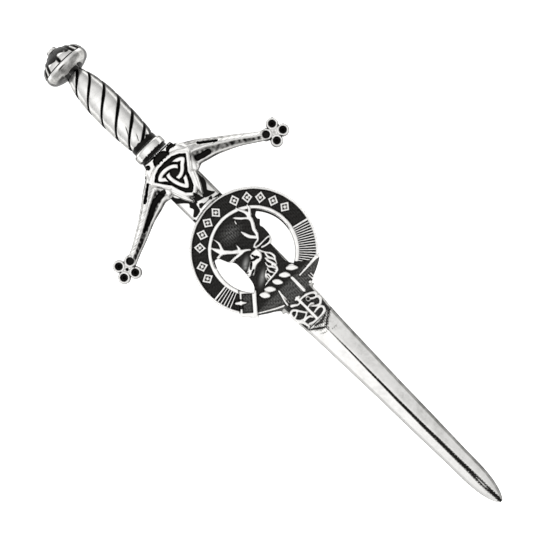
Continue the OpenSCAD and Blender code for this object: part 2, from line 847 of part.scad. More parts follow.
// Antlers, each a list of strokes in shares of the opening's radius
antlers = [
    [
        [-0.02, 0.12, 0.05], [-0.23, 0.24, 0.08], [-0.4, 0.34, 0.1], [-0.57, 0.5, 0.12], [-0.62, 0.58, 0.12],
        [-0.68, 0.76, 0.05]
    ],
    [[-0.55, 0.54, 0.1], [-0.49, 0.66, 0.07], [-0.47, 0.87, 0.04]],
    [[-0.57, 0.5, 0.1], [-0.73, 0.53, 0.05]],
    [[-0.12, 0.18, 0.06], [-0.33, 0.21, 0.07], [-0.6, 0.235, 0.05]],
    [[-0.27, 0.27, 0.07], [-0.21, 0.41, 0.03]],
    [
        [0.12, 0.12, 0.08], [0.24, 0.16, 0.06], [0.33, 0.25, 0.09], [0.37, 0.36, 0.09], [0.45, 0.5, 0.1],
        [0.5, 0.66, 0.1], [0.53, 0.8, 0.09], [0.42, 1.04, 0.06]
    ],
    [[0.24, 0.24, 0.08], [0.18, 0.35, 0.09], [0.12, 0.54, 0.07]],
    [[0.47, 0.66, 0.07], [0.36, 0.78, 0.07], [0.23, 0.92, 0.05]],
    [[0.53, 0.72, 0.09], [0.64, 0.78, 0.07], [0.69, 0.91, 0.05]]
];
// The head from poll to muzzle, the lower jaw, the two edges of the ear and the neck's base
head = [[0, 0, 0.2], [0.01, -0.12, 0.27], [-0.17, -0.16, 0.2], [-0.43, -0.28, 0.14]];
brow = [[-0.02, 0.02, 0.1], [-0.13, 0, 0.12], [-0.16, -0.08, 0.08]];
jaw = [[0, -0.24, 0.08], [-0.18, -0.26, 0.08], [-0.41, -0.39, 0.05]];
ear = [
    [[0.12, 0.02, 0.07], [0.3, 0.03, 0.06], [0.56, 0.02, 0.05]],
    [[0.56, 0.02, 0.05], [0.45, -0.08, 0.06], [0.22, -0.05, 0.06]]
];
neck_base = [[-0.36, -0.755, 0.05], [0.1, -0.73, 0.05]];
// The neck's outline, and its height as a share of the relief
neck_plan = [
    [-0.02, -0.2], [-0.3, -0.34], [-0.45, -0.46], [-0.55, -0.6], [-0.56, -0.74],
    [0.14, -0.74], [0.27, -0.52], [0.26, -0.36], [0.18, -0.16]
];
neck_share = 0.4;
tufts = [
    [[0.16, -0.08, 0.05], [0.25, -0.3, 0.09], [0.22, -0.52, 0.03]],
    [[0.1, -0.26, 0.06], [0.15, -0.44, 0.08], [0.13, -0.6, 0.03]],
    [[0.02, -0.34, 0.05], [0.03, -0.54, 0.08], [0.02, -0.7, 0.03]],
    [[-0.06, -0.48, 0.05], [-0.08, -0.62, 0.08], [-0.12, -0.72, 0.03]],
    [[-0.14, -0.6, 0.04], [-0.2, -0.66, 0.06], [-0.3, -0.73, 0.03]]
];
// Pits of the eye and the nostril: places, width at the foot, depth as a share of the relief, and flare
pits = [[-0.09, -0.12], [-0.44, -0.25]];
pit_d = 0.32;
pit_share = 0.3;
pit_flare = 1.6;

module stag() {
    for (a = antlers)
        stroke(crest_path(a), art_foot, art_z);
    translate([0, 0, art_foot])
        linear_extrude(field_z + neck_share * relief_h - art_foot)
            polygon([for (p = neck_plan) crest_place(p)]);
    difference() {
        union() {
            stroke(crest_path(head), art_foot, art_z + art_step, round_slope);
            stroke(crest_path(brow), art_foot, art_z + 2 * art_step, round_slope);
            stroke(crest_path(jaw), art_foot, art_z - 2 * art_step);
        }
        for (p = pits)
            translate(concat(crest_place(p), [art_z - relief_h * pit_share]))
                cylinder(d1 = pit_d, d2 = pit_flare * pit_d, h = relief_h, $fn = stroke_fn);
    }
    for (edge = ear)
        stroke(crest_path(edge), art_foot, art_z);
    for (t = tufts)
        stroke(crest_path(t), art_foot, art_z - art_step);
    stroke(crest_path(neck_base), art_foot, art_z - art_step);
}

// The wreath under the crest: first and last place, count of its twists
wreath_from = -0.5;
wreath_to = 0.46;
wreath_low = -1.02;
wreath_high = -0.85;
wreath_lean = 0.1;
twist_count = 5;
twist_w = 0.16;

module wreath() {
    for (i = [0:twist_count - 1])
        let (x = wreath_from + (wreath_to - wreath_from) * i / (twist_count - 1))
            stroke(
                crest_path([
                    [x - wreath_lean / 2, wreath_high, twist_w],
                    [x + wreath_lean / 2, wreath_low, twist_w]
                ]),
                art_foot, art_z, round_slope
            );
}

// Outline of the field below the ring, from the left round to the right
lower_field = [
    [-0.725, -0.632], [-0.666, -0.75], [-0.548, -0.828], [-0.431, -0.907], [-0.362, -0.966],
    [-0.323, -1.035], [0.259, -1.035], [0.296, -0.985], [0.394, -0.927], [0.541, -0.858],
    [0.669, -0.769], [0.713, -0.603], [-0.018, -0.495]
];

module lower_plate() {
    strap_top = badge_c.y - badge_r;
    translate([0, 0, badge_z])
        linear_extrude(field_t)
            polygon([for (p = lower_field) badge_place(p)]);
    // The strap's end is flush with the blade's edges
    translate([0, 0, badge_z])
        linear_extrude(field_t)
            polygon([
                for (side = [-1, 1]) for (y = side < 0 ? [tail_y, strap_top] : [strap_top, tail_y])
                    [side * blade_half((shoulder_y - y) / blade_len), y]
            ]);
}

// Straight lines and bars on the lower field and the strap end
lower_lines = [
    [[-0.627, -0.74, 0.034], [-0.264, -0.922, 0.034]],
    [[0.247, -0.765, 0.025], [0.571, -0.74, 0.039], [0.669, -0.73, 0.059]],
    [[-0.185, -0.73, 0.059], [-0.195, -0.985, 0.059]],
    [[0.119, -0.73, 0.054], [0.124, -0.985, 0.054]]
];

module lower_relief() {
    for (line = lower_lines)
        stroke(badge_path(line), art_foot, art_z - 3 * art_step);
}

// The buckle: a frame round a sunk window, and its tongue, in shares of the ring's radius
buckle_c = [-0.643, -0.505];
buckle_angle = 49;
buckle_window = [0.275, 0.135];
buckle_bar = 0.1;
buckle_reach = 1.04;
tongue = [[-0.768, -0.389, 0.072], [-0.65, -0.489, 0.05]];

module buckle() {
    w = buckle_window[0] * badge_r;
    h = buckle_window[1] * badge_r;
    bar = buckle_bar * badge_r;
    intersection() {
        translate(concat(badge_place(buckle_c), [badge_z]))
            rotate(buckle_angle)
                difference() {
                    translate([-w / 2 - bar, -h / 2 - bar, 0])
                        cube([w + 2 * bar, h + 2 * bar, buckle_h]);
                    translate([-w / 2, -h / 2, band_t])
                        cube([w, h, buckle_h]);
                }
        disc(badge_c, badge_r * buckle_reach, badge_z, badge_z + buckle_h);
    }
    stroke(badge_path(tongue), badge_z + band_t / 2, badge_z + buckle_h);
}

// The scrolled chape at the strap's end: places in shares of the half width and of the height
function chape_path(list) = [
    for (p = list) [chape_x + p[0] * chape_half, tail_y + p[1] * chape_h, p[2] * chape_half]
];
scrolls = [
    [[0, 0.97, 0.2], [0, 0.06, 0.18]],
    [[-0.14, 0.97, 0.12], [0.14, 0.97, 0.12]],
    [[-0.5, 0.92, 0.18], [-0.25, 0.82, 0.13], [-0.08, 0.81, 0.12]],
    [
        [-0.18, 0.38, 0.12], [-0.55, 0.76, 0.13], [-0.72, 0.8, 0.14], [-0.9, 0.72, 0.14],
        [-0.9, 0.47, 0.16], [-0.7, 0.28, 0.15], [-0.6, 0.04, 0.12]
    ],
    [[-0.88, 0.58, 0.12], [-0.55, 0.6, 0.12]],
    [[-0.62, 0.36, 0.12], [-0.25, 0.34, 0.12]],
    [[-0.6, 0.27, 0.12], [-0.25, 0.25, 0.12], [-0.13, 0.17, 0.1]],
    [[-0.55, 0.08, 0.12], [-0.1, 0.05, 0.12]],
    [
        [0.08, 0.86, 0.12], [0.45, 0.85, 0.12], [0.72, 0.78, 0.12], [0.9, 0.68, 0.12],
        [0.82, 0.58, 0.12], [0.6, 0.58, 0.1]
    ],
    [[0.88, 0.56, 0.12], [0.9, 0.42, 0.13], [0.7, 0.32, 0.12], [0.4, 0.37, 0.12], [0.2, 0.45, 0.1]],
    [[0.08, 0.48, 0.1], [0.35, 0.52, 0.1]],
    [
        [0.16, 0.24, 0.1], [0.5, 0.27, 0.12], [0.68, 0.18, 0.13], [0.62, 0.06, 0.13],
        [0.3, 0.05, 0.12], [0, 0.05, 0.12]
    ]
];
// A small ring among the scrolls: place and radius in the same shares, and the width of its wall
scroll_ring = [0.4, 0.7, 0.11];
scroll_ring_w = 0.3;

module chape() {
    for (s = scrolls)
        stroke(chape_path(s), art_foot, art_z - art_step);
    let (p = chape_path([scroll_ring])[0])
        annulet([p.x, p.y], p[2], scroll_ring_w, art_foot, art_z - art_step);
}

module crest_field() {
    difference() {
        disc(badge_c, rim_d / 2 + inner_rim / 2, badge_z, field_z);
        crest_openings();
    }
}

// The whole badge is one casting
module crest_badge() {
    color("darkgray") {
        belt_ring();
        belt_ribs();
        belt_ornament();
        crest_field();
        stag();
        wreath();
        lower_plate();
        lower_relief();
        buckle();
        chape();
    }
}

hinge_y = hub_top - hinge_drop - hinge_len / 2;
catch_y = hinge_y - stem_span;
plate_z = back_z - fit_gap - sheet_t;

// Hinge of the fastening: a base plate, two cheeks and a riveted eye
module hinge() {
    translate([-hinge_w / 2, hinge_y - hinge_len / 2, plate_z])
        cube([hinge_w, hinge_len, sheet_t]);
    for (side = [-1, 1])
        translate([side * (hinge_w - sheet_t) / 2 - sheet_t / 2, hinge_y - hinge_len / 2, 0])
            cube([sheet_t, hinge_len, plate_z + sheet_t / 2]);
    translate([-hinge_w / 2 + sheet_t / 2, hinge_y, stem_z])
        rotate([0, 90, 0])
            cylinder(d = eye_d, h = hinge_w - sheet_t, $fn = small);
    translate([-hinge_w / 2 - sheet_t / 3, hinge_y, stem_z])
        rotate([0, 90, 0])
            cylinder(d = rivet_d, h = hinge_w + 2 * sheet_t / 3, $fn = small);
}

// Catch of the fastening: a base plate and a block that holds the stem
module catch() {
    translate([-catch_w / 2, catch_y - catch_len / 2, plate_z])
        cube([catch_w, catch_len, sheet_t]);
    translate([-catch_w / 2, catch_y - catch_len / 4, 0])
        cube([catch_w, catch_len / 2, plate_z + sheet_t / 2]);
}

module stem() {
    translate([0, hinge_y, stem_z])
        rotate([90, 0, 0]) {
            cylinder(d = stem_d, h = stem_span + catch_len / 2, $fn = small);
            translate([0, 0, stem_span + catch_len / 2])
                cylinder(d1 = stem_d, d2 = stem_d / 5, h = stem_tip, $fn = small);
        }
}

module brooch_pin() {
    color("slategray") {
        hinge();
        stem();
        catch();
    }
}

pommel();
grip();
collar();
guard();
blade();
crest_badge();
brooch_pin();
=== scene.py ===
import bpy
import json
import math
import numpy as np
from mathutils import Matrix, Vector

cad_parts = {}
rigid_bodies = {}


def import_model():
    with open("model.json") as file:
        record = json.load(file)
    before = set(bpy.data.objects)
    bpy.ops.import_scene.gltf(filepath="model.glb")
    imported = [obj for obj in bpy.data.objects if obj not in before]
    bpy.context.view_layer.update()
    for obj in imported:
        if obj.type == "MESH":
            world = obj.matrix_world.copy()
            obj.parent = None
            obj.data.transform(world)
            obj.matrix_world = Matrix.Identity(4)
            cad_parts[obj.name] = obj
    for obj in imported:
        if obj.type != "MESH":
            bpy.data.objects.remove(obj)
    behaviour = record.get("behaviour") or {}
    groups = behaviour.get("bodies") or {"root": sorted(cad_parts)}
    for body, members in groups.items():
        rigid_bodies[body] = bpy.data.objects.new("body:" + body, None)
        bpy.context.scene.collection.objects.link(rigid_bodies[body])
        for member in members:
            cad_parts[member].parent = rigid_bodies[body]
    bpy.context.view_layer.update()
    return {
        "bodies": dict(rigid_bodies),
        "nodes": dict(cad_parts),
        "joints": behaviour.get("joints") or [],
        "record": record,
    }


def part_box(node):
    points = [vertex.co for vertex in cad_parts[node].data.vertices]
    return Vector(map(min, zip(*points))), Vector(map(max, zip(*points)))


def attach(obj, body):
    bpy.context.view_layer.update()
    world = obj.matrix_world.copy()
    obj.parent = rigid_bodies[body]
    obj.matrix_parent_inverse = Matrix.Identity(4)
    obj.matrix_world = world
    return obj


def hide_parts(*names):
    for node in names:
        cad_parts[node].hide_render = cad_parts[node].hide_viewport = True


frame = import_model()
print("frame loaded, nodes:", ", ".join(sorted(frame["nodes"])))

mm = 0.001  # every shape below is worked out in millimetres and put into the mesh in metres


def boxOf(node):
    # lowest and highest corner of a CAD node, in millimetres
    low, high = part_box(node)
    return np.array(low) / mm, np.array(high) / mm


bladeLow, bladeHigh = boxOf("blade")
gripLow, gripHigh = boxOf("grip")
collarLow, collarHigh = boxOf("collar")
pommelLow, pommelHigh = boxOf("pommel")
guardLow, guardHigh = boxOf("guard")
badgeLow, badgeHigh = boxOf("crest_badge")
backZ = bladeLow[2]  # the sword's flat back
axisRise = 0.9  # the middle of the round hilt over that back
axisZ = backZ + axisRise


# shapes as functions of the plane


def ramp(value, low, high):
    # 0 up to low, 1 from high on, and 3t^2 - 2t^3 between them
    t = np.clip((value - low) / (high - low), 0, 1)
    return t * t * (3 - 2 * t)


def between(value, rise, top, fall, end):
    # 1 from top to fall, with the same soft ramp from rise up to top and from fall down to end
    return ramp(value, rise, top) * (1 - ramp(value, fall, end))


def bell(value, place, width, power=2):
    # exp(-t^power), where t is the distance from a place over the width: 1 there and 0 far away
    return np.exp(-(((value - place) / width) ** power))


def swell(gap, edge):
    # rounded shoulder t(2 - t), where t is the depth inside an outline over the edge's width
    t = np.clip(-gap / edge, 0, 1)
    return t * (2 - t)


def waves(x, y, size, seed):
    # slow unevenness of handwork: seven sine waves in random directions, about -1 to 1
    rng = np.random.default_rng(seed)
    total = 0.0
    for turn, stretch, start in rng.uniform(0, 1, (7, 3)):
        way = 2 * math.pi * turn
        total = total + np.sin(
            (x * math.cos(way) + y * math.sin(way)) * 2 * math.pi / size * (0.6 + stretch) + 7 * start
        )
    return total / 3


def smoothLine(points, steps=5):
    # Catmull-Rom curve through the rows of points, with all their columns
    p = np.asarray(points, float)
    e = np.vstack([2 * p[0] - p[1], p, 2 * p[-1] - p[-2]])
    a, b, c, d = (part[:, None] for part in (e[:-3], e[1:-2], e[2:-1], e[3:]))
    t = np.linspace(0, 1, steps, endpoint=False)[None, :, None]
    q = 0.5 * (2 * b + (c - a) * t + (2 * a - 5 * b + 4 * c - d) * t**2 + (3 * b - a - 3 * c + d) * t**3)
    return np.vstack([q.reshape(-1, p.shape[1]), p[-1:]])


def strokeGap(x, y, path):
    # distance to a line less half of its width there, which changes evenly between its points
    gap = np.full(x.shape, 9.0)
    path = np.asarray(path, float)
    reach = path[:, 2].max() + 0.6
    near = (
        (x > path[:, 0].min() - reach)
        & (x < path[:, 0].max() + reach)
        & (y > path[:, 1].min() - reach)
        & (y < path[:, 1].max() + reach)
    )
    px, py = x[near], y[near]
    best = np.full(px.shape, 9.0)
    for a, b in zip(path[:-1], path[1:]):
        along = b[:2] - a[:2]
        t = np.clip(((px - a[0]) * along[0] + (py - a[1]) * along[1]) / max(along @ along, 1e-9), 0, 1)
        off = np.hypot(px - a[0] - t * along[0], py - a[1] - t * along[1])
        best = np.minimum(best, off - (a[2] + (b[2] - a[2]) * t) / 2)
    gap[near] = best
    return gap


def strokesGap(x, y, paths, steps=5):
    # the nearest of several smooth strokes
    gap = np.full(x.shape, 9.0)
    for path in paths:
        gap = np.minimum(gap, strokeGap(x, y, smoothLine(path, steps)))
    return gap


def outlineGap(x, y, corners):
    # distance to a closed outline, negative where a line to the right crosses it an odd number of times
    corners = np.asarray(corners, float)
    gap = np.full(x.shape, 1e3)
    inside = np.zeros(x.shape, bool)
    for a, b in zip(corners, np.roll(corners, -1, 0)):
        e = b - a
        t = np.clip(((x - a[0]) * e[0] + (y - a[1]) * e[1]) / max(e @ e, 1e-9), 0, 1)
        gap = np.minimum(gap, np.hypot(x - a[0] - t * e[0], y - a[1] - t * e[1]))
        rise = e[1] if abs(e[1]) > 1e-9 else 1e-9
        inside ^= ((a[1] > y) != (b[1] > y)) & (x < a[0] + (y - a[1]) * e[0] / rise)
    return np.where(inside, -gap, gap)


def turned(x, y, centre, degrees):
    # coordinates along and across an axis that is turned by some degrees about a centre
    a = math.radians(degrees)
    dx, dy = x - centre[0], y - centre[1]
    return dx * math.cos(a) + dy * math.sin(a), dy * math.cos(a) - dx * math.sin(a)


# meshes


def addPiece(name, points, faceSets, marks, material, nodes, sharp=38):
    # puts points in millimetres, faces of three or four corners and a value per point into a mesh
    mesh = bpy.data.meshes.new(name)
    sizes = np.concatenate([np.full(len(f), f.shape[1]) for f in faceSets])
    corners = np.concatenate([f.ravel() for f in faceSets]).astype(np.int32)
    starts = np.concatenate([[0], np.cumsum(sizes)[:-1]]).astype(np.int32)
    mesh.vertices.add(len(points))
    mesh.vertices.foreach_set("co", (points * mm).astype(np.float32).ravel())
    mesh.loops.add(len(corners))
    mesh.loops.foreach_set("vertex_index", corners)
    mesh.polygons.add(len(sizes))
    mesh.polygons.foreach_set("loop_start", starts)
    mesh.update(calc_edges=True)
    mesh.validate()
    for label, values in marks.items():
        mesh.attributes.new(label, "FLOAT", "POINT").data.foreach_set("value", values.astype(np.float32))
    mesh.shade_smooth()
    mesh.set_sharp_from_angle(angle=math.radians(sharp))
    mesh.materials.append(material)
    piece = bpy.data.objects.new(name, mesh)
    bpy.context.scene.collection.objects.link(piece)
    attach(piece, "root")
    if nodes:
        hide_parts(*nodes)
    print(f"{name}: {len(points)} points, {int((sizes - 2).sum())} triangles")
    return piece


def tubePiece(name, x, y, z, marks, material, nodes, sharp=38):
    # skins through closed rings, a ring a row and a tube a block, with a fan to the middle point of each end
    x, y, z = (v.reshape(-1, *v.shape[-2:]) for v in (x, y, z))
    tubes, rows, columns = x.shape
    index = np.arange(x.size).reshape(x.shape)
    after = np.roll(index, -1, 2)
    sides = np.stack([index[:, :-1], index[:, 1:], after[:, 1:], after[:, :-1]], -1).reshape(-1, 4)
    first = np.repeat(x.size + 2 * np.arange(tubes), columns).reshape(tubes, columns)
    fans = np.stack(
        [
            np.stack([first, index[:, 0], after[:, 0]], -1),
            np.stack([first + 1, after[:, -1], index[:, -1]], -1),
        ]
    ).reshape(-1, 3)
    grid = np.stack([x, y, z], -1)
    points = np.vstack([grid.reshape(-1, 3), grid[:, [0, -1]].mean(2).reshape(-1, 3)])
    full = {}
    for label, values in marks.items():
        values = values.reshape(x.shape)
        full[label] = np.concatenate([values.ravel(), values[:, [0, -1]].mean(2).ravel()])
    return addPiece(name, points, [sides, fans], full, material, nodes, sharp)


def castPiece(name, low, high, cell, outline, front, back, material, nodes, sharp=50):
    # A casting as a front surface over a square grid: points near the outline are moved onto it along its
    # slope, cells with three or four corners inside are kept, walls join the rim of what is left to the back.
    xs = np.arange(low[0] - 2 * cell, high[0] + 2 * cell, cell)
    ys = np.arange(low[1] - 2 * cell, high[1] + 2 * cell, cell)
    x, y = np.meshgrid(xs, ys, indexing="ij")
    gap = outline(x, y)
    near = np.abs(gap) < 0.62 * cell
    nx, ny, ng = x[near], y[near], gap[near]
    h = 0.2 * cell
    for _ in range(3):
        gx = (outline(nx + h, ny) - outline(nx - h, ny)) / (2 * h)
        gy = (outline(nx, ny + h) - outline(nx, ny - h)) / (2 * h)
        steep = np.maximum(gx**2 + gy**2, 0.3)
        step = np.clip(ng / steep, -0.5 * cell, 0.5 * cell)
        nx, ny = nx - step * gx, ny - step * gy
        ng = outline(nx, ny)
    x[near], y[near], gap[near] = nx, ny, ng
    inside = gap < 0.12 * cell
    index = np.arange(x.size).reshape(x.shape)
    square = np.stack([index[:-1, :-1], index[1:, :-1], index[1:, 1:], index[:-1, 1:]], -1).reshape(-1, 4)
    kept = inside.ravel()[square]
    quads = square[kept.all(1)]
    threes = square[kept.sum(1) == 3]
    corner = np.argmin(kept[kept.sum(1) == 3], 1)
    order = (corner[:, None] + np.array([1, 2, 3])) % 4
    tris = np.take_along_axis(threes, order, 1)
    used = np.unique(np.concatenate([quads.ravel(), tris.ravel()]))
    place = np.full(x.size, -1)
    place[used] = np.arange(len(used))
    quads, tris = place[quads], place[tris]
    fx, fy, fg = x.ravel()[used], y.ravel()[used], gap.ravel()[used]
    fz, marks = front(fx, fy, fg)
    bz = back(fx, fy)
    n = len(used)
    starts = np.concatenate([quads.ravel(), tris.ravel()])
    ends = np.concatenate([np.roll(quads, -1, 1).ravel(), np.roll(tris, -1, 1).ravel()])
    rim = ~np.isin(starts * n + ends, ends * n + starts)
    a, b = starts[rim], ends[rim]
    walls = np.stack([b, a, a + n, b + n], -1)
    points = np.vstack([np.stack([fx, fy, fz], -1), np.stack([fx, fy, bz], -1)])
    faceSets = [quads, tris, walls, quads[:, ::-1] + n, tris[:, ::-1] + n]
    full = {k: np.concatenate([v, 0 * v + backPatina * (k == "patina")]) for k, v in marks.items()}
    return addPiece(name, points, faceSets, full, material, nodes, sharp)


backPatina = 0.42  # the backs are left grey from the mould


# materials


def linearColour(hexText):
    # sRGB hex to linear: c / 12.92 below 0.04045, else ((c + 0.055) / 1.055) ^ 2.4
    parts = [int(hexText[i : i + 2], 16) / 255 for i in (1, 3, 5)]
    return [c / 12.92 if c <= 0.04045 else ((c + 0.055) / 1.055) ** 2.4 for c in parts] + [1.0]


def addNode(tree, kind, settings=None, links=None):
    # a shader node with its settings, socket values and links, given by name or number
    node = tree.nodes.new(kind)
    for key, value in (settings or {}).items():
        if isinstance(key, str) and hasattr(node, key):
            setattr(node, key, value)
        else:
            node.inputs[key].default_value = value
    for key, source in (links or {}).items():
        tree.links.new(source, node.inputs[key])
    return node


def noise(tree, size, detail, place):
    # noise whose patches have a size in millimetres, with finer layers on it
    values = {"Scale": 1 / (size * mm), "Detail": detail}
    return addNode(tree, "ShaderNodeTexNoise", values, {"Vector": place}).outputs["Fac"]


def softStep(tree, limits, amount):
    # 0 below the lower limit, 1 above the upper one, smooth between them
    values = {"interpolation_type": "SMOOTHSTEP", "From Min": limits[0], "From Max": limits[1]}
    return addNode(tree, "ShaderNodeMapRange", values, {"Value": amount}).outputs["Result"]


def mixColours(tree, first, second, share):
    # from the first hex colour to the second by a share
    values = {"data_type": "RGBA", 6: linearColour(first), 7: linearColour(second)}
    return addNode(tree, "ShaderNodeMix", values, {0: share}).outputs[2]


pewterLook = dict(
    polished="#EDECEA",  # high places, rubbed bright
    worn="#B9B8B5",  # thin patina left on slopes, and the grey of painted shade
    patina="#1F1E1D",  # black finish left in the hollows, and the darkest painted shade
    brushedAndHighlight="#9A9A98",  # the same finish where brushing has thinned it, and the colour of the painted highlights on the crest's neck
    polishedRough=0.24,
    patinaRough=0.46,
    castGrain=0.22,  # size of the casting's grain
    rubGrain=0.9,  # size of the patches that rubbing leaves
    grainHeight=0.004,
    ragged=0.3,  # how far the patches shift the patina's edge
    speckle=0.24,  # how far the grain does
    thinFrom=(0.14, 0.55),  # amount of patina at which the metal turns from polished to worn
    blackFrom=(0.42, 0.78),  # and from there to the black finish
)


def pewterMaterial():
    # Antiqued pewter: cast, blackened with acid, then rubbed bright on its high places. The eye sees
    # near-white metal with a soft gloss, black in every hollow, a ragged grey edge between them and a
    # fine casting grain. The patina value also carries painted shade along silhouettes, outlines and
    # right-hand sides, and the haze value carries painted highlights on the crest's neck.
    look = pewterLook
    material = bpy.data.materials.new("antiqued_cast_pewter")
    material.use_nodes = True
    tree = material.node_tree
    tree.nodes.clear()
    place = addNode(tree, "ShaderNodeTexCoord").outputs["Object"]
    dark = addNode(tree, "ShaderNodeAttribute", {"attribute_name": "patina"}).outputs["Fac"]
    grain = noise(tree, look["castGrain"], 3.0, place)
    patch = noise(tree, look["rubGrain"], 4.0, place)
    values = {"operation": "MULTIPLY_ADD", 1: look["ragged"], 2: -look["ragged"] / 2}
    ragged = addNode(tree, "ShaderNodeMath", values, {0: patch})
    values = {"operation": "MULTIPLY_ADD", 1: look["speckle"]}
    speckled = addNode(tree, "ShaderNodeMath", values, {0: grain, 2: ragged.outputs[0]})
    amount = addNode(tree, "ShaderNodeMath", {"operation": "ADD"}, {0: dark, 1: speckled.outputs[0]})
    black = softStep(tree, look["blackFrom"], amount.outputs[0])
    thin = softStep(tree, look["thinFrom"], amount.outputs[0])
    bright = mixColours(tree, look["polished"], look["worn"], thin)
    # haze: brushed grey on the badge, and painted highlights on the crest's neck
    soft = addNode(tree, "ShaderNodeAttribute", {"attribute_name": "haze"}).outputs["Fac"]
    finish = mixColours(tree, look["patina"], look["brushedAndHighlight"], soft)
    values = {0: black, 6: bright, 7: finish}
    colour = addNode(tree, "ShaderNodeMix", {"data_type": "RGBA"}, values).outputs[2]
    rough = addNode(
        tree,
        "ShaderNodeMapRange",
        {"To Min": look["polishedRough"], "To Max": look["patinaRough"]},
        {"Value": amount.outputs[0]},
    ).outputs["Result"]
    bump = addNode(
        tree,
        "ShaderNodeBump",
        {"Strength": 0.6, "Distance": look["grainHeight"] * mm},
        {"Height": grain},
    ).outputs["Normal"]
    shader = addNode(
        tree,
        "ShaderNodeBsdfPrincipled",
        {"Metallic": 1.0},
        {"Base Color": colour, "Roughness": rough, "Normal": bump},
    )
    addNode(tree, "ShaderNodeOutputMaterial", {}, {"Surface": shader.outputs[0]})
    return material


steelLook = dict(base="#C9C9CB", rough=0.26, drawGrain=0.18, drawHeight=0.003)


def steelMaterial():
    # Nickel-plated steel findings: drawn and stamped, then plated. Bright grey with fine marks along
    # the wire.
    look = steelLook
    material = bpy.data.materials.new("nickel_plated_steel")
    material.use_nodes = True
    tree = material.node_tree
    tree.nodes.clear()
    place = addNode(tree, "ShaderNodeTexCoord").outputs["Object"]
    stretched = addNode(
        tree, "ShaderNodeMapping", {"Scale": (1.0, 0.06, 1.0)}, {"Vector": place}
    ).outputs["Vector"]
    marks = noise(tree, look["drawGrain"], 2.0, stretched)
    values = {"To Min": look["rough"] - 0.06, "To Max": look["rough"] + 0.12}
    rough = addNode(tree, "ShaderNodeMapRange", values, {"Value": marks}).outputs["Result"]
    bump = addNode(
        tree, "ShaderNodeBump", {"Strength": 0.5, "Distance": look["drawHeight"] * mm}, {"Height": marks}
    ).outputs["Normal"]
    shader = addNode(
        tree,
        "ShaderNodeBsdfPrincipled",
        {"Base Color": linearColour(look["base"]), "Metallic": 1.0},
        {"Roughness": rough, "Normal": bump},
    )
    addNode(tree, "ShaderNodeOutputMaterial", {}, {"Surface": shader.outputs[0]})
    return material


pewter = pewterMaterial()
steel = steelMaterial()
print("materials ready")


# pommel

pommel = dict(
    rows=170,
    columns=256,
    seam=0.39,
    grooves=[-3.75, -2.85, -0.2, 2.8, 3.75],  # distance from the middle at the seam
    grooveLean=0.75,
    grooveDepth=0.28,
    footBlobs=[[-1.0, 0.42], [0.45, 0.85], [1.85, 0.35]],  # black left at the foot: place, half width
    # share of the length, share of the radius
    sections=[
        [0, 0.43], [0.045, 0.655], [0.115, 0.875], [0.2, 0.975], [0.27, 1], [0.33, 1], [0.37, 0.99],
        [0.39, 0.945], [0.412, 0.985], [0.5, 0.945], [0.56, 0.895], [0.665, 0.745], [0.76, 0.55],
        [0.825, 0.38], [0.85, 0.27], [0.885, 0.235], [0.94, 0.205], [0.985, 0.13], [1, 0.05],
    ],
)


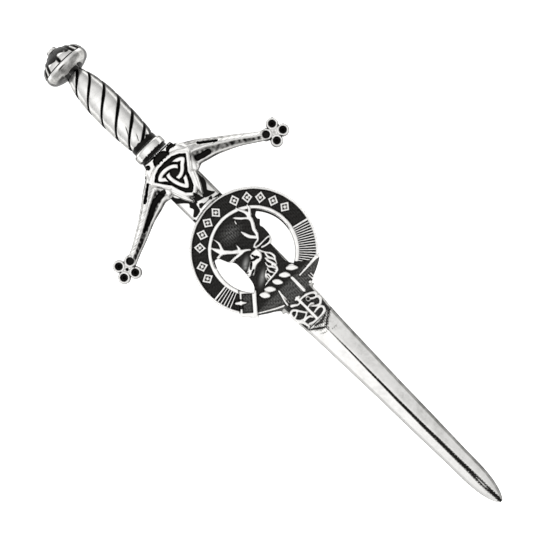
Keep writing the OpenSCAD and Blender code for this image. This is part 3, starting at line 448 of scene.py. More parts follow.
def makePommel():
    # rings round the hilt's axis: radius from the smoothed sections, less upright grooves above the seam
    p = pommel
    table = smoothLine(p["sections"], 6)
    table[:, 0] = np.maximum.accumulate(table[:, 0])
    s = np.linspace(0, 1, p["rows"])[:, None]
    length = pommelHigh[1] - pommelLow[1]
    radius = np.interp(s, table[:, 0], table[:, 1]) * (pommelHigh[0] - pommelLow[0]) / 2
    a = np.linspace(0, 2 * math.pi, p["columns"], endpoint=False)[None, :]
    y = pommelLow[1] + s * length + 0 * a
    lean = 1 - p["grooveLean"] * (s - p["seam"])
    fold = np.abs(radius * np.cos(a) - p["grooves"][0] * lean)
    for place in p["grooves"][1:]:
        fold = np.minimum(fold, np.abs(radius * np.cos(a) - place * lean))
    above = between(s, p["seam"] - 0.01, p["seam"] + 0.03, 0.8, 0.86)
    front = np.sin(a) > -0.1
    cusp = bell(fold, 0, 0.2) * above * front
    r = radius - cusp * p["grooveDepth"]
    x = r * np.cos(a)
    z = np.maximum(backZ, axisZ + r * np.sin(a))
    seam = bell(s, p["seam"], 0.013) * (0.75 + 0.25 * ramp(x, -1, 2))
    uneven = waves(x, y, 2.2, 3)
    brow = p["seam"] + 0.17 + 0.035 * uneven + 0.03 * np.sin(x * 2.2 + 0.4)
    dome = between(s, brow - 0.02, brow + 0.03, 0.84, 0.88)  # the tops of the petals stay black
    petals = dome * (0.78 + 0.3 * ramp(s, 0.72, 0.82) + 0.16 * waves(x, y, 1.4, 4))
    groove = bell(fold, 0, 0.32) * above * front
    spot = lambda cx, cs, wx, ws: bell(x, cx, wx) * bell(s, cs, ws) * (z > axisZ)
    smudge = 0.75 * spot(-0.7, 0.27, 1.1, 0.028)
    belly = 0.4 * between(s, 0.02, 0.1, 0.26, 0.34) * (1 + 0.16 * waves(x, y, 2.0, 6))
    low = 0.62 * (1 - ramp(s, 0.08, 0.2)) * ramp(-x, 0.6, 1.8)
    low = low + 0.45 * (1 - ramp(s, 0.06, 0.16)) * ramp(x, 1.2, 2.4)
    blobs = [1 - ramp(np.abs(x - c), half - 0.1, half + 0.15) for c, half in p["footBlobs"]]
    foot = (1 - ramp(s + 0.015 * waves(x, y, 1.1, 5), 0.045, 0.1)) * (np.abs(x - 0.3) < 2.2)
    foot = foot * (0.3 + 0.7 * np.maximum.reduce(blobs))
    tip = 0.3 * ramp(s, 0.96, 1) + 0.9 * spot(0, 0.862, 1.1, 0.014)
    button = ramp(s, 0.86, 0.88)
    aside = np.abs(x) / radius
    # painted shade: darker towards the silhouette of the pommel and of its button
    silhouetteShade = 0.6 * ramp(aside, 0.8, 0.96) * (1 - button) + 0.62 * ramp(aside, 0.6, 0.8) * button
    layers = np.broadcast_arrays(seam, petals, groove, belly, smudge, low, foot, tip, silhouetteShade)
    patina = np.clip(np.maximum.reduce(layers), 0, 1)
    flat = (z <= backZ + 1e-6) * backPatina
    marks = {"patina": np.maximum(patina, flat)}
    return tubePiece("pommel", x, y, z, marks, pewter, ["pommel"])


makePommel()


# grip

grip = dict(
    rows=300,
    columns=280,
    flutes=4,
    depth=0.36,
    neck=0.9,
    neckWidth=4.9,
    rate=0.5,  # how much the twist tightens towards both ends
    turn=236,
    start=27,
    shape=[
        [0, 0.8], [0.03, 0.85], [0.08, 0.9], [0.28, 0.975], [0.5, 0.995], [0.65, 0.965], [0.8, 0.86],
        [0.92, 0.7], [1, 0.55],
    ],
    width=5.86,
    # short nicks beside the lower grooves: x, y, width from end to end
    nicks=[
        [[-0.04, 36.2, 0.05], [-0.45, 35.3, 0.22], [-1.1, 34.25, 0.12]],
        [[0.4, 34.0, 0.05], [0.1, 33.4, 0.2], [-0.25, 32.75, 0.15]],
    ],
)


def makeGrip():
    # rings round the axis with four grooves whose angle follows an inverse hyperbolic tangent of the place
    g = grip
    y0 = gripLow[1] + g["neck"]
    s = np.linspace(0, 1, g["rows"])[:, None]
    y = gripLow[1] + s * (gripHigh[1] - gripLow[1])
    v = np.clip((y - y0) / (gripHigh[1] - y0), 0, 1)
    shape = smoothLine(g["shape"], 6)
    radius = np.interp(v, shape[:, 0], shape[:, 1]) * g["width"] / 2
    a = np.linspace(0, 2 * math.pi, g["columns"], endpoint=False)[None, :]
    turn = math.radians(g["turn"]) * np.arctanh(g["rate"] * (2 * v - 1)) / math.atanh(g["rate"])
    share = ((a - math.radians(g["start"]) + turn) * g["flutes"] / (2 * math.pi)) % 1
    fold = np.minimum(share, 1 - share) * 2 * math.pi / g["flutes"] * radius  # millimetres from a groove
    groove = bell(fold, 0, 0.24) + 0.12 * bell(fold, 0, 0.7)
    above = ramp(y, y0 - 0.08, y0 + 0.02)
    neckRadius = g["neckWidth"] / 2
    r = neckRadius + (radius - groove * g["depth"] - neckRadius) * above
    x = r * np.cos(a)
    yy = y + 0 * a
    z = np.maximum(backZ, axisZ + r * np.sin(a))
    nick = swell(strokesGap(x, yy, g["nicks"]), 0.12) * (z > axisZ + 1)
    z = z - 0.1 * nick
    wide = 0.4 + 0.17 * ramp(x, -0.5, 1.5) * (1 - ramp(yy, 41, 46)) + 0.02 * waves(x, yy, 0.8, 14)
    wide = wide * (1 + 1.5 * ramp(np.abs(x) / radius, 0.85, 1))  # seen aslant beside the silhouette
    line = bell(fold, 0, wide, 4) * above
    jagged = y0 + 0.1 + 0.13 * waves(x, 0 * yy, 0.7, 11) + 0.7 * ramp(x, 1.7, 2.4)
    recess = 0.95 * between(yy, gripLow[1] - 0.1, gripLow[1] + 0.12, jagged - 0.1, jagged + 0.08)
    # painted shade: darker towards the grip's silhouette, more on the right-hand side
    edge = (0.42 + 0.2 * (x > 0)) * ramp(np.abs(x) / radius, 0.66, 0.9) * (z > backZ + 0.05)
    soft = 0.1 + 0.08 * waves(x, yy, 2.5, 12)
    # painted reflections: two thin grey lines along the grip near its sides
    reflectionLines = 0.4 * bell(x / radius, 0.8, 0.025) + 0.26 * bell(x / radius, -0.84, 0.015)
    patina = np.clip(np.maximum.reduce([line, recess, edge + 0 * line, soft, reflectionLines, 0.75 * nick]), 0, 1)
    flat = (z <= backZ + 1e-6) * backPatina
    return tubePiece("grip", x, yy, z, {"patina": np.maximum(patina, flat)}, pewter, ["grip"])


makeGrip()


# collar

collar = dict(
    rows=60,
    columns=200,
    # share of the length and share of the radius
    sections=[
        [0, 0.9], [0.17, 0.9], [0.24, 0.965], [0.34, 0.99], [0.5, 1.0], [0.72, 1], [0.88, 0.96],
        [1, 0.84],
    ],
)


def makeCollar():
    # rings round the axis, radius from the smoothed sections
    c = collar
    table = smoothLine(c["sections"], 6)
    s = np.linspace(0, 1, c["rows"])[:, None]
    radius = np.interp(s, table[:, 0], np.minimum(table[:, 1], 1)) * (collarHigh[0] - collarLow[0]) / 2
    a = np.linspace(0, 2 * math.pi, c["columns"], endpoint=False)[None, :]
    x = radius * np.cos(a)
    y = collarLow[1] + s * (collarHigh[1] - collarLow[1]) + 0 * a
    z = np.maximum(backZ, axisZ + radius * np.sin(a))
    teeth = 0.05 * np.abs(np.sin(x * 7.5)) + 0.03 * waves(x, y, 0.7, 22)
    neck = 1 - ramp(s + teeth, 0.26, 0.33)
    # the last term of rim is painted shade, darker towards the collar's silhouette
    rim = 0.5 * ramp(s, 0.86, 1) + 0.3 * bell(s, 0.78, 0.03) + 0.5 * ramp(np.abs(x) / radius, 0.68, 0.95)
    patina = np.clip(np.maximum(neck, rim) + 0.05 * waves(x, y, 1.5, 21), 0, 1)
    flat = (z <= backZ + 1e-6) * backPatina
    return tubePiece("collar", x, y, z, {"patina": np.maximum(patina, flat)}, pewter, ["collar"])


makeCollar()


# blade

badge = dict(
    centre=(0.35, 5.65),
    radius=11.0,
    openCentre=(0.31, 5.45),
    openRadius=6.975,
    bandIn=7.85,
    bandOut=10.5,
    rimIn=7.15,
    cell=0.09,
)
badgeBack = badgeLow[2]
tailY = badgeLow[1]

blade = dict(
    tang=3.0,
    width=6.84,
    ridge=2.1,
    edge=1.0,
    bevel=0.4,
    rows=620,
    seat=1.2,
    # half width as shares of the width at the guard, at shares of the length
    shape=[
        [0, 1], [0.07, 0.995], [0.36, 0.94], [0.415, 0.88], [0.45, 0.835], [0.505, 0.795],
        [0.643, 0.702], [0.754, 0.652], [0.864, 0.588], [1, 0.56],
    ],
    pointShare=0.9,
    # the groove: y, half width, depth, patina
    groove=[
        [-12.0, 0.04, 0.0, 0.0], [-13.4, 0.08, 0.08, 0.55], [-17.0, 0.12, 0.14, 0.75],
        [-24.0, 0.18, 0.2, 0.9], [-32.0, 0.24, 0.28, 1.0], [-40.0, 0.32, 0.36, 1.0],
        [-46.0, 0.36, 0.4, 1.0], [-49.5, 0.44, 0.4, 0.95], [-52.0, 0.42, 0.36, 0.95],
        [-54.2, 0.36, 0.14, 1.0], [-54.9, 0.2, 0.02, 0.9],
    ],
    grooveShift=(-0.1, -0.18, -32, 12),  # aside from the middle: everywhere, and more about a place
    # black left round the langets and above the badge, as outlines
    blotches=[
        [[-4.24, 22.98], [-3.87, 23.16], [-3.12, 22.42], [-2.65, 21.39], [-1.91, 20.55], [-1.35, 19.15],
         [-0.88, 19.01], [-0.56, 18.36], [-0.96, 18.22], [-1.16, 17.47], [-1.39, 16.96], [-2.47, 16.74],
         [-2.82, 17.12], [-1.93, 17.89], [-2.14, 18.64], [-1.77, 19.15], [-2.37, 19.9], [-3.12, 20.55],
         [-3.49, 21.11], [-3.96, 21.95], [-4.05, 22.56]],
        [[1.92, 20.55], [2.38, 21.67], [3.04, 22.7], [3.69, 23.35], [3.74, 22.79], [3.18, 22.42],
         [2.96, 21.67], [3.06, 20.55], [2.9, 19.85], [2.34, 19.06], [2.15, 18.64], [2.5, 18.01],
         [2.83, 17.64], [2.48, 17.49], [1.17, 17.86], [0.78, 18.22], [0.91, 18.68], [1.54, 19.24]],
        [[-0.46, 19.99], [0.05, 19.76], [0.42, 19.34], [0.56, 18.64], [0.75, 18.11], [-0.6, 18.54],
         [-0.71, 19.15]],
        [[-0.97, 17.43], [-0.6, 17.89], [-0.12, 17.75], [0.07, 17.42], [1.08, 17.32], [1.4, 17.55],
         [1.92, 17.47], [1.56, 16.97], [1.08, 17.25], [-0.14, 17.22], [-0.88, 17.15]],
        [[1.82, 17.05], [2.85, 16.91], [3.27, 16.82], [3.5, 16.35], [2.76, 16.54], [2.1, 16.82]],
        [[-3.34, 16.65], [-3.12, 16.71], [-2.95, 16.45], [-3.14, 16.22], [-3.33, 16.31]],
    ],
    # greyer marks on the facets below the strap's end: x, y, width along short strokes
    mottle=[
        [[-2.6, -10.6, 0.5], [-1.9, -11.0, 0.8], [-1.0, -11.7, 0.9], [-0.1, -12.3, 0.7],
         [-0.1, -13.2, 0.25]],
        [[2.7, -10.6, 0.5], [1.9, -10.9, 0.8], [1.0, -11.5, 0.8], [0.2, -12.0, 0.8]],
        [[-1.2, -10.75, 0.7], [0.0, -11.1, 1.0], [1.2, -10.75, 0.7]],
        [[-1.6, -12.5, 0.2], [-0.6, -12.9, 0.3]],
        [[0.5, -13.2, 0.25], [1.4, -13.4, 0.2]],
    ],
)


def makeBlade():
    # Rows along the blade, each a half round trip from edge to edge: bevel, facet, groove, facet, bevel.
    # The half width is a smoothed table times (1 - t^2.2)^0.62 towards the point.
    b = blade
    shoulder = bladeHigh[1] - b["tang"]
    length = shoulder - bladeLow[1]
    even = np.linspace(0, 1, b["rows"])
    s = np.clip(1 - (1 - even) * (1 + 0.35 * even * (1 - even)), 0, 1)[:, None]
    shape = smoothLine(b["shape"], 6)
    t = np.clip((s - b["pointShare"]) / (1 - b["pointShare"]), 0, 1)
    point = (1 - np.minimum(t, 0.9999) ** 2.2) ** 0.62
    half = b["width"] / 2 * np.interp(s, shape[:, 0], shape[:, 1]) * point
    y = shoulder - s * length
    thin = 1 - 0.4 * s**3
    edgeSteps = np.array([0.92, 0.95, 0.985, 1])  # closer towards the edges, for the bevels
    q = np.concatenate([-edgeSteps[::-1], np.linspace(-0.89, 0.89, 61), edgeSteps])[None, :]
    x = half * q
    inset = np.clip((half - np.abs(x)) / b["bevel"], 0, 1)
    crest = b["edge"] + (b["ridge"] - b["edge"]) * np.clip(half / (b["width"] / 4), 0, 1)
    bevelTop = b["edge"] + (crest - b["edge"]) * 0.35
    rise = np.clip((half - b["bevel"] - np.abs(x)) / np.maximum(half - b["bevel"], 0.05), 0, 1)
    bevel = b["edge"] + (bevelTop - b["edge"]) * inset
    height = np.where(inset < 1, bevel, bevelTop + (crest - bevelTop) * rise)
    spine = 0.05 * bell(x, 0, 0.25)  # the ridge is rubbed round
    g = np.array(b["groove"])[::-1]
    wide, deep, black = (np.interp(y, g[:, 0], g[:, k]) for k in (1, 2, 3))
    aside, more, place, spread = b["grooveShift"]
    wander = aside * ramp(y, -54, -50) + more * bell(y, place, spread) + 0.012 * np.sin(y * 0.9)
    split = 0.22 * bell(y, -50.2, 1.7)  # the groove parts round a raised strand near the point
    strand = bell(x, wander, np.maximum(wide * 0.35, 0.02))
    cut = bell(x, wander, np.maximum(wide, 0.03), 4)
    height = height - spine - cut * deep + split * strand
    y2 = y + 0 * q
    height = height + 0.012 * waves(x, y2, 5.0, 31) + 0.005 * waves(x, y2, 1.3, 32)
    z = backZ + height * thin
    onBadge = np.hypot(x - badge["centre"][0], y2 - badge["centre"][1]) < badge["radius"] + 0.08
    onStrap = (y2 > tailY - 0.08) & (y2 < badge["centre"][1])
    z = np.where(onBadge | onStrap, np.minimum(z, backZ + b["seat"]), z)
    blot = np.zeros_like(x)
    high = y2[:, 0] > 14
    for corners in b["blotches"]:
        near = outlineGap(x[high], y2[high], smoothLine(corners, 3))
        blot[high] = np.maximum(blot[high], 1 - ramp(near, -0.06, 0.1))
    blot = blot * (0.88 + 0.14 * waves(x, y2, 0.6, 33))
    mottle = 0.7 * swell(strokesGap(x, y2, b["mottle"]) + 0.16 * waves(x, y2, 0.5, 34), 0.4)
    # painted shade: the right-hand facet, bevel and edge greyer, and dark lines along the left edge and its
    # bevel
    rightSideShade = 0.07 * ramp(x, 0.05, 0.3) + 0.26 * between(half - x, -0.01, 0.02, 0.4, 0.6)
    leftEdgeShade = 0.5 * (1 - ramp(half + x, 0.02, 0.16)) + 0.12 * (1 - ramp(np.abs(half + x - 0.32), 0.0, 0.1))
    rightSideShade = rightSideShade + 0.3 * (1 - ramp(half - x, 0.02, 0.14))
    ragged = wide * (1.0 + 0.3 * waves(x * 2, y2, 0.45, 36))
    groovePatina = black * bell(x, wander, np.maximum(ragged, 0.05), 4) * (1 - 0.7 * split * strand / 0.22)
    groovePatina = groovePatina * (0.86 + 0.2 * waves(x * 2, y2, 0.4, 37))
    haze = 0.06 + 0.05 * waves(x, y2, 4.0, 35)
    patina = np.clip(np.maximum.reduce([blot, mottle, rightSideShade + haze, leftEdgeShade, groovePatina]), 0, 1)
    under = np.r_[x.shape[1] - 1 : 0 : -12, 0]
    ringX = np.concatenate([x, x[:, under]], 1)
    ringY = np.concatenate([y2, y2[:, under]], 1)
    ringZ = np.concatenate([z, np.full_like(x[:, under], backZ)], 1)
    marks = np.concatenate([patina, np.full_like(x[:, under], backPatina)], 1)
    ringX, ringY, ringZ, marks = (table[: b["rows"] - 1] for table in (ringX, ringY, ringZ, marks))
    return tubePiece("blade", ringX, ringY, ringZ, {"patina": marks}, pewter, ["blade"], 30)


makeBlade()


# guard

guard = dict(
    lean=2.0,
    reach=17.25,
    drop=11.35,
    hub=[[3.05, 0.35], [3.26, 1], [3.66, 1.4], [4.4, 1.95], [4.6, 2.6], [4.3, 5.9], [3.75, 6.6], [3.45, 7.2]],
    hubHeight=2.5,
    cell=0.08,
    # edges of the two quillons, which aren't alike: distance out, drop of the top edge and of the bottom edge
    leftArm=[
        [1.7, 1.1, 7.5], [3.3, 1.45, 7.6], [4.4, 2.15, 7.42], [5.0, 2.55, 7.52], [6.0, 3.27, 7.86],
        [7.0, 4.0, 8.15], [8.0, 4.9, 8.44], [9.0, 5.63, 8.82], [10.5, 6.76, 9.52], [12.0, 7.75, 10.17],
        [14.0, 9.02, 11.0], [16.1, 10.1, 12.0],
    ],
    rightArm=[
        [1.7, 0.8, 7.2], [3.3, 0.95, 7.1], [3.8, 1.25, 6.95], [4.4, 1.79, 6.7], [5.0, 2.1, 6.8],
        [6.0, 2.67, 7.06], [7.0, 3.28, 7.28], [8.0, 4.06, 7.58], [9.0, 4.75, 7.98], [10.5, 5.81, 8.61],
        [12.0, 6.87, 9.37], [14.0, 8.38, 10.59], [16.1, 9.9, 11.9],
    ],
    ridge=(2.85, 1.9),
    ridgePlace=0.44,
    edge=1.2,
    foilAngle=-27,
    foilPitch=1.5,
    foilRadius=1.1,
    foilHole=0.62,
    foilHeight=1.8,
    # half outline of the sunk shield: x, drop below the guard's top
    shield=[
        [0, 2.4], [1.5, 2.5], [2.7, 2.98], [3.66, 3.78], [2.81, 4.99], [1.85, 6.2], [1.44, 7.49],
        [0.93, 8.7], [0.11, 9.4],
    ],
    border=0.85,
    borderHeight=3.2,
    sunk=0.85,
    knotMiddle=4.72,
    knotWidth=6.4,
    knotLow=3.3,
    band=0.86,
    underGap=0.26,
    langets=[[[2.37, 6.9, 1.1], [1.55, 8.9, 1.2], [1.0, 10.55, 0.5]]],
    notch=[[0, 9.75, 0.1], [0, 10.4, 0.7], [0, 11.3, 1.2]],
    # cuts in the quillons: side, then x, drop, width
    slots=[
        [-1, [4.75, 3.2, 0.5], [7.2, 5.1, 0.6]],
        [1, [6.4, 3.8, 0.55], [9.0, 5.65, 0.5]],
    ],
    hollows=[
        [-1, [3.7, 6.0, 1.0], [5.2, 6.1, 1.0], [6.35, 6.42, 0.95], [8.55, 7.6, 0.7], [10.75, 8.67, 0.5]],
        [1, [4.6, 5.6, 1.0], [5.6, 5.85, 1.05], [6.7, 6.1, 0.95]],
    ],
    moon=dict(middle=-0.05, width=3.4, height=1.5, drop=0.4),
    corners=[
        [[-3.3, 0.8, 0.7], [-2.75, 1.2, 0.85]],
        [[1.55, 1.35, 0.45], [2.2, 1.0, 0.65], [3.2, 1.15, 0.85]],
    ],
)


def knotCurves():
    # three half circles of a plain triquetra, carried to the shield: flat side loops, a narrow bottom loop
    g = guard
    t = np.linspace(0, 1, 40)
    radius, offset = math.sqrt(3) / 2, 0.5
    curves = []
    for k in range(3):
        a = math.pi * (1 + t)
        px, py = radius * np.cos(a), offset + radius * np.sin(a)
        b = 2 * math.pi * k / 3
        qx, qy = px * math.cos(b) - py * math.sin(b), px * math.sin(b) + py * math.cos(b)
        side = qx / radius
        up = 2 * qy * (0.1 + 0.07 * (1 - side**2)) * 6.1
        cx = side * g["knotWidth"] / 2 * (1 - 0.36 * (offset - qy)) * (1 - 0.17 * side**2)
        cy = np.where(qy < 0, qy * g["knotLow"], up) - g["knotMiddle"]
        curves.append(np.stack([cx, cy, 0 * cx], -1))
    return curves


def guardPlan(x, y):
    # the guard's own coordinates: turned about the middle between the quatrefoils, and y measured down
    # from its top
    g = guard
    hubTop = bladeHigh[1] - blade["tang"] + 7.2
    pivot = hubTop - g["drop"]
    u, w = turned(x, y, (0, pivot), -g["lean"])
    return u, w + pivot - hubTop


def foilCentres():
    # eight rings' centres, in the guard's own coordinates
    g = guard
    out = []
    for side in (-1, 1):
        for k in range(4):
            a = math.radians(g["foilAngle"] + 90 * k)
            away = side * (g["reach"] + g["foilPitch"] * math.cos(a))
            out.append((away, -g["drop"] + g["foilPitch"] * math.sin(a)))
    return out


def mirroredOutline(half):
    # a closed outline from its right half, which runs from the top down
    right = np.array([[x, -drop] for x, drop in half])
    left = right[::-1] * [-1, 1]
    return np.vstack([right, left])


def armShares(u, w):
    # place along a quillon as a share of its reach, and across it from its top edge (0) to its bottom
    # edge (1)
    g = guard
    far = np.abs(u)
    top, low = np.zeros_like(u), np.zeros_like(u)
    for name, here in (("leftArm", u < 0), ("rightArm", u >= 0)):
        table = smoothLine(g[name], 5)
        top[here] = -np.interp(far[here], table[:, 0], table[:, 1])
        low[here] = -np.interp(far[here], table[:, 0], table[:, 2])
    return np.clip(far / g["reach"], 0, 1.2), (top - w) / (top - low), top, low


def guardOutline(x, y):
    # the union of hub, quillons, quatrefoils, shield with its border, and langets, less the notch
    g = guard
    u, w = guardPlan(x, y)
    hub = outlineGap(u, w, mirroredOutline(g["hub"]))
    s, t, top, low = armShares(u, w)
    middle, half = (top + low) / 2, (top - low) / 2
    slope = 0.83
    arm = np.maximum((np.abs(w - middle) - half) * slope, np.abs(np.abs(u) - 8.9) - 7.2)
    foils = np.full(u.shape, 9.0)
    for cx, cy in foilCentres():
        foils = np.minimum(foils, np.hypot(u - cx, w - cy) - g["foilRadius"])
    heart = np.hypot(np.abs(u) - g["reach"], w + g["drop"]) - g["foilPitch"] * 0.75
    shield = outlineGap(u, w, mirroredOutline(g["shield"])) - g["border"]
    notch = strokesGap(u, w, [[[a, -d, k] for a, d, k in g["notch"]]])
    langet = strokesGap(np.abs(u), w, [[[a, -d, k] for a, d, k in p] for p in g["langets"]])
    body = np.minimum.reduce([hub, arm, foils, heart, shield, langet])
    return np.maximum(body, -notch)


def guardFront(x, y, gap):
    # heights above the back, layer on layer, and the patina that the hollows keep
    g = guard
    u, w = guardPlan(x, y)
    s, t, top, low = armShares(u, w)
    ridge = g["ridge"][0] + (g["ridge"][1] - g["ridge"][0]) * s
    k = np.where(t < g["ridgePlace"], t / g["ridgePlace"], (1 - t) / (1 - g["ridgePlace"]))
    k = np.clip(k, 0, 1)
    arm = g["edge"] + (ridge - g["edge"]) * (k - 0.06 * bell(k, 1, 0.06))
    onLower = between(t, g["ridgePlace"] + 0.03, g["ridgePlace"] + 0.12, 0.8, 0.9)
    scoop = 0.3 * onLower * between(s, 0.2, 0.3, 0.75, 0.9)
    upperLine = bell(t, 0.15, 0.035) * between(s, 0.22, 0.3, 0.8, 0.95)
    arm = arm - scoop - 0.1 * upperLine
    onArm = (np.abs(u) > 1.6) & (np.abs(u) < g["reach"] - 1.0) & (t > -0.05) & (t < 1.05)
    hubGap = outlineGap(u, w, mirroredOutline(g["hub"]))
    blend = ramp(np.abs(u), 3.3, 5.2)
    hub = g["hubHeight"] * (0.9 + 0.1 * swell(hubGap, 0.4))
    height = np.where(hubGap < 0, hub * (1 - blend) + np.where(onArm, arm, hub) * blend, 0.0)
    height = np.where((hubGap >= 0) & onArm, arm, height)
    height = np.where((hubGap < 0) & onArm & (np.abs(u) > 3.3), hub * (1 - blend) + arm * blend, height)
    # black under the collar
    patina = 0.04 + 0.9 * (hubGap < 0) * ramp(w + 0.05 * waves(u, w, 0.5, 46), -0.6, -0.5)
    lower = (0.48 + 0.14 * ramp(-u, 0, 2)) * onLower
    lower = lower * ramp(np.abs(u), 3.2, 4.4) * (1 - ramp(s, 0.86, 0.95)) * (1 + 0.22 * waves(u, w, 1.1, 41))
    patina = np.maximum(patina, lower * onArm)
    streaks = (0.17 + 0.16 * waves(u * 0.5, w * 2, 0.9, 47)) * (t < g["ridgePlace"]) * ramp(s, 0.15, 0.3)
    patina = np.maximum(patina, np.maximum(0.42 * upperLine, streaks) * onArm)
    # painted shade: dark lines along the top and bottom edges of the quillons
    patina = np.maximum(patina, 0.6 * ramp(t, 0.9, 0.98) * onArm * (np.abs(u) > 4))
    patina = np.maximum(patina, 0.5 * (1 - ramp(t, 0.03, 0.1)) * onArm * (np.abs(u) > 4))

    # quatrefoils: rounded rings with a deep hole, a pit between them
    foils = np.zeros(u.shape)
    holes = np.zeros(u.shape)
    for cx, cy in foilCentres():
        far = np.hypot(u - cx, w - cy)
        ring = g["foilHeight"] - 0.35 * ((far - 0.85) / 0.35) ** 2
        foils = np.maximum(foils, np.where(far < g["foilRadius"], ring, 0))
        holes = np.maximum(holes, 1 - ramp(far, g["foilHole"] - 0.1, g["foilHole"] + 0.06))
    heartFar = np.hypot(np.abs(u) - g["reach"], w + g["drop"])
    heart = np.where(heartFar < 1.13, g["foilHeight"] - 0.25, 0)
    height = np.maximum(height, np.maximum(foils, heart))
    height = height - holes * np.maximum(height - 0.9, 0)
    pit = swell(heartFar - 0.3, 0.25) * (0.4 + 0.6 * (u < 0))
    height = height - 0.4 * pit
    patina = np.maximum.reduce([patina, holes, 0.95 * pit])
    cleft = between(heartFar, 0.9, 1.3, 2.0, 2.6) * (foils < 1.45) * (np.abs(u) < g["reach"] - 0.5)
    patina = np.maximum(patina, 0.75 * cleft * (heartFar > 1.2))

    # shield: raised border, sunk field, three-cornered knot
    shieldGap = outlineGap(u, w, mirroredOutline(g["shield"]))
    langet = strokesGap(np.abs(u), w, [[[a, -d, k2] for a, d, k2 in p] for p in g["langets"]])
    border = np.minimum(shieldGap - g["border"], langet)
    borderTop = g["hubHeight"] - 0.2 + (g["borderHeight"] - g["hubHeight"] + 0.2) * swell(border, 0.5)
    height = np.where(border < 0, np.maximum(borderTop, height), height)
    well = swell(shieldGap, 0.22)
    height = np.where(shieldGap < 0, g["borderHeight"] - g["sunk"] * well, height)
    patina = np.where(border < 0, 0.07 + 0.3 * (1 - swell(border, 0.16)), patina)
    patina = np.where(shieldGap < 0, np.maximum(patina, ramp(well, 0.3, 0.8)), patina)
    curves = knotCurves()
    gaps = [strokeGap(u, w, c) for c in curves]
    knot = np.zeros(u.shape)
    for k in range(3):
        over = curves[(k + 2) % 3][20:34]
        cut = strokeGap(u, w, over) - g["band"] / 2 - g["underGap"]
        band = swell(gaps[k] - g["band"] / 2 - 0.04, 0.24) * ramp(cut, -0.06, 0.08)
        knot = np.maximum(knot, band)
    knot = knot * ramp(-shieldGap, -0.3, 0.05)
    knotTop = g["borderHeight"] - g["sunk"] + (g["sunk"] - 0.1) * knot
    height = np.where(shieldGap < 0.1, np.maximum(height, knotTop), height)
    patina = np.where(shieldGap < 0, np.minimum(patina, 1 - ramp(knot, 0.25, 0.6) * 0.96), patina)

    # sunk moon, corner recesses, slots and hollows
    m = g["moon"]
    moonLow = -m["drop"] - m["height"]
    jag = 0.13 * np.sin(u * 8.0) + 0.09 * np.sin(u * 17.0 + 1)
    arch = np.hypot(u - m["middle"], (w - moonLow) * m["width"] / 2 / m["height"]) - m["width"] / 2
    moon = np.maximum(arch, moonLow + jag - w)
    corner = strokesGap(u, w, [[[a, -d, k2] for a, d, k2 in path] for path in g["corners"]])
    cuts = []
    for table, deep in ((g["slots"], 0.5), (g["hollows"], 0.45)):
        for side, *path in table:
            line = [[side * a, -d, k2] for a, d, k2 in path]
            cuts.append((strokesGap(u, w, [line]), deep))
    cuts += [(moon, 0.85), (corner, 0.75)]
    for cut, deep in cuts:
        inside = swell(cut + 0.04 * waves(u, w, 0.6, 43), 0.2)
        height = height - deep * inside
        patina = np.maximum(patina, ramp(inside, 0.2, 0.7))

    # rounded outer edge, hand-finished unevenness, and painted shade along the outline
    height = height - 0.22 * (1 - swell(gap, 0.25))
    height = height + 0.012 * waves(u, w, 2.4, 44)
    # painted shade: darker along the guard's outline
    patina = np.maximum(patina, 0.6 * (1 - ramp(-gap, 0.02, 0.24)))
    patina = patina + 0.05 * waves(u, w, 1.6, 45)
    return backZ + np.maximum(height, 0.35), {"patina": np.clip(patina, 0, 1)}


def guardBack(x, y):
    # the flat back, stepped up to the blade's face below the shoulder
    shoulder = bladeHigh[1] - blade["tang"]
    overBlade = (np.abs(x) < blade["width"] / 2 + 0.08) & (y < shoulder + 0.08)
    return np.where(overBlade, backZ + blade["ridge"] + 0.08, backZ)


castPiece(
    "guard",
    guardLow,
    guardHigh,
    guard["cell"],
    guardOutline,
    guardFront,
    guardBack,
    pewter,
    ["guard"],
)


# crest badge

